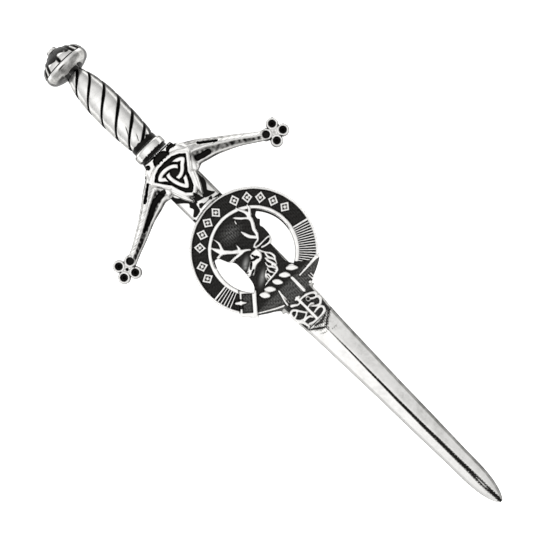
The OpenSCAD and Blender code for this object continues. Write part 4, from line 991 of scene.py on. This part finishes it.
badge.update(
    field=0.9,
    band=1.3,
    rim=2.0,
    art=2.15,
    # ribs across the belt: first angle, last angle, count, width
    ribs=[
        [186.7, 186.7, 1, 0.34], [189.9, 202.7, 5, 0.18], [-14.3, -14.3, 1, 0.38],
        [-17.2, -59.5, 17, 0.19],
    ],
    ribTop=1.93,
    # lozenges round the belt: angle of the first, count
    lozenges=[[166.2, 2], [132, 4], [66.2, 5]],
    pitch=14.1,
    lozenge=(2.45, 2.2),
    lozengeBar=0.5,
    pellet=0.75,
    # outlines in shares of the ring's radius
    foot=[
        [-0.44, -0.416], [-0.669, -0.714], [-0.784, -0.887], [-0.018, -1.231], [0.787, -0.83],
        [0.699, -0.755], [0.488, -0.72], [0.34, -0.583], [0.276, -0.485], [-0.018, -0.347],
    ],
    lowerField=[
        [-0.725, -0.632], [-0.666, -0.75], [-0.548, -0.828], [-0.431, -0.907], [-0.362, -0.966],
        [-0.323, -1.035], [0.259, -1.035], [0.296, -0.985], [0.394, -0.927], [0.541, -0.858],
        [0.669, -0.769], [0.713, -0.603],
    ],
    # outlines in shares of the opening's radius
    leftEdge=[
        [-0.8, 0.53], [-0.73, 0.48], [-0.69, 0.39], [-0.63, 0.26], [-0.55, 0.17], [-0.515, 0.07],
        [-0.51, -0.1], [-0.53, -0.26], [-0.55, -0.42], [-0.58, -0.54], [-0.63, -0.63], [-0.72, -0.7],
    ],
    rightEdge=[
        [0.74, 0.68], [0.65, 0.62], [0.63, 0.53], [0.66, 0.47], [0.56, 0.37], [0.58, 0.27],
        [0.565, 0.04], [0.51, -0.09], [0.415, -0.17], [0.4, -0.42], [0.39, -0.7], [0.49, -0.875],
    ],
    antlers=[
        [[-0.04, 0.11, 0.05], [-0.11, 0.166, 0.07], [-0.2, 0.22, 0.09], [-0.295, 0.3, 0.11],
         [-0.387, 0.368, 0.1],
         [-0.48, 0.46, 0.11], [-0.56, 0.54, 0.13], [-0.61, 0.63, 0.12], [-0.65, 0.72, 0.08],
         [-0.68, 0.8, 0.04]],
        [[-0.55, 0.55, 0.12], [-0.51, 0.63, 0.08], [-0.472, 0.748, 0.07], [-0.485, 0.88, 0.04]],
        [[-0.57, 0.53, 0.1], [-0.65, 0.53, 0.07], [-0.74, 0.535, 0.05]],
        [[-0.12, 0.18, 0.06], [-0.325, 0.205, 0.08], [-0.5, 0.227, 0.07], [-0.63, 0.25, 0.04]],
        [[-0.28, 0.28, 0.09], [-0.215, 0.31, 0.08], [-0.2, 0.43, 0.03]],
        [[0.12, 0.045, 0.06], [0.085, 0.09, 0.06], [0.166, 0.135, 0.055], [0.26, 0.147, 0.06],
         [0.32, 0.21, 0.07],
         [0.36, 0.29, 0.09], [0.375, 0.38, 0.1], [0.423, 0.472, 0.1], [0.479, 0.564, 0.1],
         [0.51, 0.675, 0.11],
         [0.534, 0.78, 0.1], [0.51, 0.87, 0.075], [0.46, 0.98, 0.065], [0.43, 1.06, 0.05]],
        [[0.3, 0.2, 0.08], [0.24, 0.27, 0.09], [0.178, 0.35, 0.1], [0.135, 0.47, 0.09],
         [0.117, 0.56, 0.05]],
        [[0.49, 0.66, 0.08], [0.423, 0.736, 0.065], [0.337, 0.81, 0.075], [0.258, 0.902, 0.065],
         [0.21, 0.95, 0.03]],
        [[0.52, 0.7, 0.1], [0.607, 0.775, 0.08], [0.665, 0.85, 0.07], [0.675, 0.925, 0.05]],
        [[0.17, 0.8, 0.05], [0.185, 0.86, 0.04]],
    ],
    ear=[
        [[0.1, 0.05, 0.06], [0.227, 0.028, 0.05], [0.411, 0.035, 0.05], [0.56, 0.012, 0.05]],
        [[0.56, 0.012, 0.05], [0.48, -0.075, 0.06], [0.35, -0.088, 0.06], [0.21, -0.05, 0.05]],
    ],
    head=[
        [-0.166, 0.02], [-0.08, 0.04], [0.067, 0.035], [0.115, -0.03], [0.11, -0.14], [0.05, -0.235],
        [-0.05, -0.278], [-0.172, -0.284], [-0.264, -0.325], [-0.337, -0.378], [-0.423, -0.42],
        [-0.446, -0.39], [-0.52, -0.345], [-0.555, -0.285], [-0.48, -0.225], [-0.356, -0.15],
        [-0.24, -0.085], [-0.19, -0.05],
    ],
    headCuts=[
        [[-0.36, -0.235, 0.045], [-0.3, -0.19, 0.05], [-0.245, -0.14, 0.05]],
        [[-0.455, -0.358, 0.03], [-0.36, -0.318, 0.05], [-0.3, -0.3, 0.02]],
        [[-0.1, -0.03, 0.05], [-0.086, -0.09, 0.05], [-0.05, -0.14, 0.07], [-0.015, -0.175, 0.03]],
        [[-0.215, -0.095, 0.05], [-0.15, -0.125, 0.06], [-0.09, -0.14, 0.05]],
        [[-0.5, -0.255, 0.03], [-0.47, -0.26, 0.03]],
    ],
    mane=[
        [[0.115, -0.04, 0.04], [0.15, -0.14, 0.05], [0.2, -0.22, 0.05], [0.255, -0.3, 0.06],
         [0.27, -0.42, 0.06],
         [0.225, -0.5, 0.05], [0.185, -0.6, 0.03]],
        [[0.16, -0.22, 0.05], [0.15, -0.33, 0.07], [0.2, -0.43, 0.06], [0.2, -0.5, 0.03]],
        [[0.08, -0.3, 0.05], [0.085, -0.4, 0.07], [0.13, -0.52, 0.06], [0.16, -0.6, 0.03]],
        [[0.0, -0.38, 0.04], [-0.01, -0.48, 0.06], [0.05, -0.57, 0.06], [0.1, -0.68, 0.04]],
        [[-0.06, -0.5, 0.04], [-0.07, -0.6, 0.06], [-0.02, -0.7, 0.04]],
        [[0.05, -0.6, 0.04], [0.09, -0.52, 0.05], [0.13, -0.62, 0.05], [0.1, -0.7, 0.05],
         [0.04, -0.68, 0.04]],
        [[-0.21, -0.7, 0.04], [-0.2, -0.61, 0.05], [-0.15, -0.62, 0.05], [-0.15, -0.7, 0.05]],
        [[-0.38, -0.765, 0.04], [-0.2, -0.74, 0.055], [-0.02, -0.73, 0.06], [0.1, -0.715, 0.04]],
        [[-0.27, -0.7, 0.03], [-0.22, -0.6, 0.04], [-0.12, -0.53, 0.04]],
    ],
    neck=[
        [-0.02, -0.2], [-0.3, -0.34], [-0.45, -0.46], [-0.55, -0.6], [-0.56, -0.74], [0.14, -0.74],
        [0.27, -0.52], [0.26, -0.36], [0.18, -0.16],
    ],
    # painted highlights on the neck: x, y, length, width, direction
    sheen=[[-2.1, 5.15, 0.95, 0.42, 30], [-1.85, 1.4, 1.2, 0.4, 32], [-2.7, 4.6, 0.4, 0.3, 0]],
    wreath=[
        [[-0.63, -0.86, 0.1], [-0.575, -0.925, 0.17], [-0.51, -1.01, 0.1]],
        [[-0.455, -0.845, 0.09], [-0.38, -0.915, 0.16], [-0.3, -1.0, 0.09]],
        [[-0.18, -0.845, 0.09], [-0.125, -0.915, 0.16], [-0.06, -1.0, 0.09]],
        [[0.045, -0.85, 0.09], [0.125, -0.92, 0.16], [0.2, -1.0, 0.09]],
        [[0.285, -0.845, 0.09], [0.375, -0.915, 0.16], [0.46, -1.0, 0.09]],
    ],
    # strokes on the lower field, in millimetres from the middle of the sword and above the strap's end
    lines=[
        [[-6.45, 8.0, 0.2], [-5.0, 7.13, 0.22], [-3.7, 6.38, 0.27], [-2.65, 5.85, 0.38]],
        [[-1.45, 8.2, 0.34], [-1.65, 7.4, 0.34], [-1.95, 6.4, 0.34], [-2.1, 5.5, 0.32]],
        [[-1.45, 8.1, 0.2], [-1.5, 7.0, 0.16], [-1.58, 5.6, 0.16]],
        [[1.71, 8.2, 0.56], [1.71, 7.0, 0.6], [1.67, 5.3, 0.56]],
        [[3.0, 7.62, 0.32], [4.5, 7.7, 0.38], [6.2, 7.82, 0.5], [7.35, 7.9, 0.62]],
        [[4.05, 6.65, 0.22], [4.1, 5.8, 0.22]],
        [[3.35, 5.6, 0.4], [3.42, 5.65, 0.4]],
        [[4.55, 6.6, 0.2], [4.5, 6.0, 0.2]],
    ],
    chape=[
        [[-0.13, 5.25, 0.5], [-0.13, 2.6, 0.48], [-0.13, 0.1, 0.5]],
        [[-0.48, 5.15, 0.36], [0.25, 5.15, 0.36]],
        [[-1.72, 4.87, 0.5], [-1.3, 4.6, 0.42], [-0.9, 4.3, 0.3], [-0.35, 4.25, 0.24]],
        [[-0.68, 2.25, 0.26], [-1.25, 3.05, 0.34], [-1.75, 3.85, 0.38], [-2.25, 4.22, 0.38],
         [-2.75, 4.05, 0.4],
         [-3.0, 3.4, 0.46], [-2.95, 2.55, 0.5], [-2.57, 2.05, 0.46], [-2.2, 1.3, 0.42],
         [-2.05, 0.4, 0.3]],
        [[-2.75, 3.05, 0.32], [-2.25, 3.22, 0.3], [-1.8, 3.5, 0.26]],
        [[-2.3, 2.0, 0.3], [-1.75, 1.8, 0.3], [-1.1, 2.05, 0.28], [-0.75, 2.3, 0.2]],
        [[-1.9, 1.55, 0.32], [-1.15, 1.55, 0.34], [-0.7, 1.38, 0.32], [-0.55, 1.05, 0.24]],
        [[-1.7, 0.6, 0.28], [-0.95, 0.3, 0.34], [-0.13, 0.2, 0.4]],
        [[0.15, 4.6, 0.3], [0.8, 4.6, 0.34], [1.45, 4.47, 0.38], [2.1, 4.2, 0.38], [2.55, 3.8, 0.34],
         [2.6, 3.35, 0.32],
         [2.35, 3.12, 0.32], [1.9, 3.2, 0.34], [1.55, 3.45, 0.34]],
        [[0.15, 2.75, 0.26], [0.6, 2.9, 0.26], [0.95, 2.85, 0.26], [1.25, 2.6, 0.24]],
        [[2.35, 3.1, 0.32], [2.6, 2.75, 0.34], [2.5, 2.2, 0.36], [2.0, 1.78, 0.36], [1.45, 1.9, 0.34],
         [0.95, 2.25, 0.28],
         [0.7, 2.45, 0.2]],
        [[0.4, 1.4, 0.3], [1.0, 1.5, 0.34], [1.65, 1.42, 0.36], [1.95, 1.0, 0.34], [1.8, 0.55, 0.36],
         [1.3, 0.28, 0.44],
         [0.6, 0.12, 0.5], [-0.13, 0.12, 0.5]],
    ],
    chapeRing=(1.13, 3.75, 0.36, 0.3),
    buckle=(-0.643, -0.505),
    buckleAngle=49,
    buckleWindow=(2.95, 1.42),
    buckleBars=(0.8, 1.1, 0.7, 1.08),  # towards the ring's middle, away from it, above and below the window
    buckleHeight=2.3,
    tongue=[[-8.45, -4.25, 0.7], [-7.8, -4.8, 0.85], [-7.12, -5.39, 0.5]],
)


def ofBelt(points):
    # shares of the ring's radius to millimetres, widths too
    p = np.array(points, float) * badge["radius"]
    p[:, :2] += badge["centre"]
    return p


def ofOpening(points):
    # shares of the opening's radius to millimetres, widths too
    p = np.array(points, float) * badge["openRadius"]
    p[:, :2] += badge["openCentre"]
    return p


def ofStrap(points):
    # millimetres above the strap's end to the sword's own
    p = np.array(points, float)
    p[:, 1] += tailY
    return p


def buckleGaps(x, y):
    # millimetres outside the buckle's frame and outside its window, and the place along and across the window
    b = badge
    window, high = b["buckleWindow"]
    inner, outer, above, below = b["buckleBars"]
    u, w = turned(x, y, ofBelt([b["buckle"]])[0], b["buckleAngle"])
    frame = np.maximum(
        np.maximum(u - inner, -u - outer) - window / 2, np.maximum(w - above, -w - below) - high / 2
    )
    return frame, np.maximum(np.abs(u) - window / 2, np.abs(w) - high / 2), u, w


def windows(x, y):
    # the see-through openings: the opening's disc beyond the crest's edge on either side
    b = badge
    disc = np.hypot(x - b["openCentre"][0], y - b["openCentre"][1]) - b["openRadius"]
    out = np.full(x.shape, 9.0)
    for edge in (b["leftEdge"], b["rightEdge"]):
        line = ofOpening(smoothLine(edge, 3))
        far = b["openCentre"][0] + math.copysign(2 * b["openRadius"], edge[0][0])
        corners = np.vstack([line, [[far, line[-1][1]], [far, line[0][1]]]])
        out = np.minimum(out, np.maximum(disc, outlineGap(x, y, corners)))
    return out


def strapHalf(y):
    # half width of the strap end, flush with the blade
    shape = smoothLine(blade["shape"], 6)
    shoulder = bladeHigh[1] - blade["tang"]
    share = (shoulder - y) / (shoulder - bladeLow[1])
    return blade["width"] / 2 * np.interp(share, shape[:, 0], shape[:, 1])


def badgeOutline(x, y):
    # the ring's disc, the field below it and the strap end together, less the openings
    b = badge
    disc = np.hypot(x - b["centre"][0], y - b["centre"][1]) - b["radius"]
    lower = outlineGap(x, y, ofBelt(smoothLine(b["lowerField"], 4)))
    strap = np.maximum(np.abs(x) - strapHalf(y), np.abs(y - (tailY + 4)) - 4)
    buckle = np.maximum(buckleGaps(x, y)[0], disc - 0.04 * b["radius"])
    return np.maximum(np.minimum.reduce([disc, lower, strap, buckle]), -windows(x, y))


def badgeFront(x, y, gap):
    # layers of relief above the badge's back; the patina stays where little relief stands
    b = badge
    dx, dy = x - b["centre"][0], y - b["centre"][1]
    r = np.hypot(dx, dy)
    angle = np.degrees(np.arctan2(dy, dx))
    ro = np.hypot(x - b["openCentre"][0], y - b["openCentre"][1])
    foot = outlineGap(x, y, ofBelt(b["foot"]))
    onBelt = ramp(ro, b["openRadius"] + 0.1, b["openRadius"] + 0.5)
    onBelt = onBelt * ramp(foot, -0.1, 0.1) * (r < b["radius"] + 0.3)
    floor = b["field"] + (b["band"] - b["field"]) * onBelt
    floor = floor + 0.03 * waves(x, y, 1.3, 51) + 0.02 * waves(x, y, 0.5, 52)
    lift = np.zeros(x.shape)  # 0 on the floor, 1 on the highest metal
    height = floor.copy()

    def emboss(share, top):
        # takes the higher of what is there and a form that rises from the floor to its top by a share
        nonlocal height, lift
        height = np.maximum(height, floor + (top - floor) * share)
        lift = np.maximum(lift, share)

    beltOnly = ramp(foot, -0.05, 0.12)
    lit = 1 - between(angle, -20, -11, 158, 166)  # here the inner rim runs down to the opening
    emboss(swell(np.maximum(b["bandOut"] - 0.08 - r, r - b["radius"]), 0.26) * beltOnly, b["rim"])
    innerRim = np.maximum(b["rimIn"] - 0.09 - 0.35 * lit - r, r - b["bandIn"] - 0.1)
    emboss(swell(innerRim, 0.26) * beltOnly, b["rim"])
    long, wide = b["lozenge"]
    middle = (b["bandIn"] + b["bandOut"]) / 2
    for first, count in b["lozenges"]:
        for k in range(count):
            a = first - b["pitch"] * k
            c = (
                b["centre"][0] + middle * math.cos(math.radians(a)),
                b["centre"][1] + middle * math.sin(math.radians(a)),
            )
            u, w = turned(x, y, c, a)
            edge = np.abs(u) * 2 / long + np.abs(w) * 2 / wide - 1
            edge = edge * long * wide / 2 / math.hypot(long, wide)
            edge = np.where(np.hypot(u, w) < 2, edge, 9.0)
            frameGap = np.abs(edge + b["lozengeBar"] / 2) - b["lozengeBar"] / 2
            emboss(swell(frameGap, 0.18), b["band"] + 0.52)
            emboss(swell(np.hypot(u, w) - b["pellet"] / 2, 0.22), b["band"] + 0.5)

    # the crest: glossy neck, antlers, head, mane, wreath
    neck = swell(outlineGap(x, y, ofOpening(smoothLine(b["neck"] + b["neck"][:1], 4))), 0.5)
    height = np.maximum(height, floor + 0.45 * neck)
    emboss(swell(strokesGap(x, y, [ofOpening(p) for p in b["antlers"]]) - 0.14, 0.26), b["art"])
    emboss(swell(strokesGap(x, y, [ofOpening(p) for p in b["ear"]]) - 0.11, 0.2), b["art"] - 0.1)
    headGap = outlineGap(x, y, ofOpening(smoothLine(b["head"] + b["head"][:1], 4)))
    head = swell(headGap - 0.1, 0.32)
    emboss(head, b["art"] + 0.1)
    emboss(swell(strokesGap(x, y, [ofOpening(p) for p in b["mane"]]) - 0.09, 0.18), b["art"] - 0.15)
    emboss(swell(strokesGap(x, y, [ofOpening(p) for p in b["wreath"]]) - 0.13, 0.3), b["art"] - 0.1)
    cuts = swell(strokesGap(x, y, [ofOpening(p) for p in b["headCuts"]]), 0.14)
    height = height - 0.5 * cuts * (headGap < 0.1)
    lift = np.where(headGap < 0.1, lift * (1 - cuts), lift)

    # lower field and chape
    emboss(swell(strokesGap(x, y, [ofStrap(p) for p in b["lines"]]) - 0.12, 0.18), b["art"] - 0.3)
    emboss(swell(strokesGap(x, y, [ofStrap(p) for p in b["chape"]]) - 0.17, 0.22), b["art"] - 0.12)
    rx, ry, rr, rw = b["chapeRing"]
    emboss(swell(np.abs(np.hypot(x - rx, y - tailY - ry) - rr) - rw / 2 - 0.06, 0.18), b["art"] - 0.12)

    # buckle and tongue
    outside, hole, u, w = buckleGaps(x, y)
    inFrame = outside < 0
    lift = np.where(inFrame, 0, lift)
    height = np.where(inFrame, b["band"] + 0 * height, height)
    bar = swell(np.maximum(outside, -hole), 0.26)
    height = np.maximum(height, b["band"] + (b["buckleHeight"] - b["band"]) * bar)
    worn = ramp(w, 0.6, 0.75) * (1 - ramp(np.abs(u + 0.1), 0.75, 1.0))  # black either side of the tongue
    lift = np.maximum(lift, bar * (1 - 0.95 * worn))
    tongue = swell(strokeGap(x, y, smoothLine(np.array(b["tongue"]) + [*b["centre"], 0])), 0.22)
    height = np.maximum(height, b["band"] + (b["buckleHeight"] - b["band"]) * tongue)
    lift = np.maximum(lift, tongue)

    # rounded rim of the openings and of the outline
    height = height - 0.16 * (1 - swell(gap, 0.2))
    height = height + 0.008 * waves(x, y, 1.8, 53)
    brush = 0.5 + 0.4 * waves(x * 2.4, y * 0.8, 0.9, 55) + 0.3 * waves(x * 0.8, y * 2.4, 0.8, 57)
    brush = np.clip(brush, 0, 1)
    below = 1 - ramp(y, -2.7, -1.7)
    haze = below * (0.04 + 0.34 * brush) * (0.35 + 0.65 * ramp(y, -5.6, -5.0))
    haze = np.maximum(haze, 0.4 * brush * bell(x, -0.3, 2) * bell(y, 10.5, 1.3))
    haze = np.maximum(haze, 0.06 * brush)
    haze = np.where(hole < 0, 0.05 + 0.26 * brush, haze)
    side = ramp(np.abs(x) - strapHalf(y), -0.55, -0.2) * (1 - ramp(y, -5.2, -4.6))
    end = 1 - ramp(y + 0.25 * waves(x, y, 0.8, 56), tailY + 0.1, tailY + 0.5)
    patina = 1 - np.maximum(0.68 * side, 0.6 * end)
    # painted highlights: soft streaks on the neck with less patina and more brushed grey
    for px, py, long, wide, turn in b["sheen"]:
        u, w = turned(x, y, (px, py), turn)
        highlight = bell(u, 0, long) * bell(w, 0, wide)
        patina = patina - 0.35 * highlight
        haze = np.maximum(haze, 0.75 * highlight)
    patina = patina - (patina - 0.03) * ramp(lift, 0.2, 0.55)
    # painted shade: grey along the outline of the raised metal
    outlineShade = (1 - swell(gap, 0.2)) * (lift > 0.3)
    patina = np.maximum(patina, 0.3 * outlineShade)
    start = b["openRadius"]
    shade = between(angle, -8, 10, 40, 55) * between(ro, start - 0.08, start, start + 0.1, start + 0.28)
    patina = np.maximum(patina, 0.95 * shade)
    patina = patina + 0.05 * waves(x, y, 1.1, 54)
    return badgeBack + height, {"patina": np.clip(patina, 0, 1), "haze": np.clip(haze, 0, 1)}


def badgeUnder(x, y):
    # a flat back
    return np.full(x.shape, badgeBack)


castPiece(
    "crest_badge",
    badgeLow,
    badgeHigh,
    badge["cell"],
    badgeOutline,
    badgeFront,
    badgeUnder,
    pewter,
    ["crest_badge"],
)


def makeRibs():
    # Bars across the belt, one tube each, from rim to rim: at a share c across, from -1 to 1, a bar stands
    # 1 - |c|^12 of its height, so its top is flat and its sides are steep.
    b = badge
    groups = [np.stack([np.linspace(first, last, n), np.full(n, wide)]) for first, last, n, wide in b["ribs"]]
    angle, width = np.concatenate(groups, 1)
    angle, width = np.radians(angle)[:, None, None], width[:, None, None]
    r = np.linspace(b["bandIn"] - 0.15, b["bandOut"] + 0.15, 16)[None, :, None]
    turn = np.linspace(0, 2 * math.pi, 16, endpoint=False)[None, None, :]
    across = np.cos(turn) * width / 2 * (0.85 + 0.3 * (r - b["bandIn"]) / (b["bandOut"] - b["bandIn"]))
    x = b["centre"][0] + r * np.cos(angle) + across * np.sin(angle)
    y = b["centre"][1] + r * np.sin(angle) - across * np.cos(angle)
    x = x + 0.02 * waves(x, y, 0.8, 58)
    upper = (np.sin(turn) > 0.05) * (1 - np.abs(np.cos(turn)) ** 12)
    upper = upper * ramp(outlineGap(x, y, ofBelt(b["foot"])), 0, 0.12)  # they end at the lower field's line
    z = badgeBack + b["band"] - 0.06 + (b["ribTop"] - b["band"] + 0.06) * upper + 0 * x
    patina = 0.95 - 0.9 * ramp(upper, 0.3, 0.8) + 0.1 * waves(x, y, 0.9, 59)
    return tubePiece("belt_ribs", x, y, z, {"patina": np.clip(patina, 0, 1)}, pewter, [])


makeRibs()


# brooch pin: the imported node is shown, with a plated finish

pin = frame["nodes"]["brooch_pin"]
pin.data.materials.clear()
pin.data.materials.append(steel)
print("brooch_pin: packed node, plated")


# studio

studio = dict(
    floorSize=1.6,
    floorColour="#F4F4F3",
    floorGlow=0.7,  # the table is white acrylic lit from below
    floorDrop=0.00005,
    floorTooth=900.0,  # scale of its faint grain, to the metre
    lampPlace=(-0.22, 0.08, 0.6),
    lampSize=0.5,
    lampLight=0.35,
    # light of the room over the angle from its brightest place, in degrees
    brightest=(-0.2, 0.08, 1.0),
    room=[[0, 1.2], [25, 1.14], [45, 0.98], [70, 0.58], [100, 0.36], [180, 0.62]],
    photoScale=5.84,  # pixels of the photograph per millimetre
    photoSide=550,
    aim=(0.0, 0.17),
    cameraHeight=0.3,  # near enough to see the rings of the hilt bow towards the pommel
    sharpPlane=7.6,  # height at which the scale above holds
)


def makeFloor():
    # a plain pale table under the pin, a touch below what it rests on
    half = studio["floorSize"] / 2
    mesh = bpy.data.meshes.new("floor")
    z = -studio["floorDrop"]
    corners = [(-half, -half, z), (half, -half, z), (half, half, z), (-half, half, z)]
    mesh.from_pydata(corners, [], [(0, 1, 2, 3)])
    mesh.update()
    material = bpy.data.materials.new("white_acrylic_table")  # matt white with a faint tooth, glowing softly
    material.use_nodes = True
    tree = material.node_tree
    tree.nodes.clear()
    place = addNode(tree, "ShaderNodeTexCoord").outputs["Object"]
    values = {"Scale": studio["floorTooth"], "Detail": 2.0}
    tooth = addNode(tree, "ShaderNodeTexNoise", values, {"Vector": place}).outputs["Fac"]
    bump = addNode(tree, "ShaderNodeBump", {"Strength": 0.1, "Distance": 0.00005}, {"Height": tooth})
    shader = addNode(
        tree,
        "ShaderNodeBsdfPrincipled",
        {
            "Base Color": linearColour(studio["floorColour"]),
            "Roughness": 0.9,
            "Emission Color": (1, 1, 1, 1),
            "Emission Strength": studio["floorGlow"],
        },
        {"Normal": bump.outputs["Normal"]},
    )
    addNode(tree, "ShaderNodeOutputMaterial", {}, {"Surface": shader.outputs[0]})
    mesh.materials.append(material)
    floor = bpy.data.objects.new("floor", mesh)
    bpy.context.scene.collection.objects.link(floor)


def makeLamp():
    # a square soft box that faces the pin: its power is pi times its area times the light it should show
    data = bpy.data.lights.new("soft_box", "AREA")
    data.shape = "SQUARE"
    data.size = studio["lampSize"]
    data.energy = math.pi * studio["lampSize"] ** 2 * studio["lampLight"]
    lamp = bpy.data.objects.new("soft_box", data)
    x, y, z = studio["lampPlace"]
    lamp.location = (x, y, z)
    lamp.rotation_euler = (math.atan2(math.hypot(x, y), z), 0, math.atan2(x, -y))
    bpy.context.scene.collection.objects.link(lamp)


def makeWorld():
    # a pale tent round the table: its light falls off with the angle from its brightest place
    world = bpy.data.worlds.new("studio")
    bpy.context.scene.world = world
    world.use_nodes = True
    tree = world.node_tree
    tree.nodes.clear()
    way = addNode(tree, "ShaderNodeTexCoord").outputs["Generated"]
    top = np.array(studio["brightest"]) / np.linalg.norm(studio["brightest"])
    values = {"operation": "DOT_PRODUCT", 1: tuple(top)}
    dot = addNode(tree, "ShaderNodeVectorMath", values, {0: way}).outputs["Value"]
    values = {"operation": "ARCCOSINE", "use_clamp": False}
    angle = addNode(tree, "ShaderNodeMath", values, {0: dot}).outputs[0]
    share = addNode(tree, "ShaderNodeMath", {"operation": "DIVIDE", 1: math.pi}, {0: angle}).outputs[0]
    ramps = addNode(tree, "ShaderNodeValToRGB", {}, {0: share})
    ramps.color_ramp.interpolation = "B_SPLINE"
    stops = ramps.color_ramp.elements
    while len(stops) < len(studio["room"]):
        stops.new(0.5)
    for stop, (degrees, light) in zip(stops, studio["room"]):
        stop.position = degrees / 180
        stop.color = (light, light, light, 1)
    back = addNode(tree, "ShaderNodeBackground", {"Strength": 1.0}, {"Color": ramps.outputs["Color"]})
    addNode(tree, "ShaderNodeOutputWorld", {}, {"Surface": back.outputs[0]})


def makeCamera():
    # straight above, turned 45 degrees so that the pommel points to the upper left
    data = bpy.data.cameras.new("camera")
    face = studio["sharpPlane"] * mm
    height = studio["cameraHeight"]
    wide = studio["photoSide"] / studio["photoScale"] * mm
    data.sensor_width = 36
    data.lens = 36 * (height - face) / wide
    data.clip_start = 0.05
    data.clip_end = 10
    camera = bpy.data.objects.new("camera", data)
    camera.location = (studio["aim"][0] * mm, studio["aim"][1] * mm, height)
    camera.rotation_euler = (0, 0, math.radians(-45))
    bpy.context.scene.collection.objects.link(camera)
    bpy.context.scene.camera = camera


makeFloor()
makeLamp()
makeWorld()
makeCamera()
bpy.context.scene.view_settings.view_transform = "Standard"
print("studio ready")

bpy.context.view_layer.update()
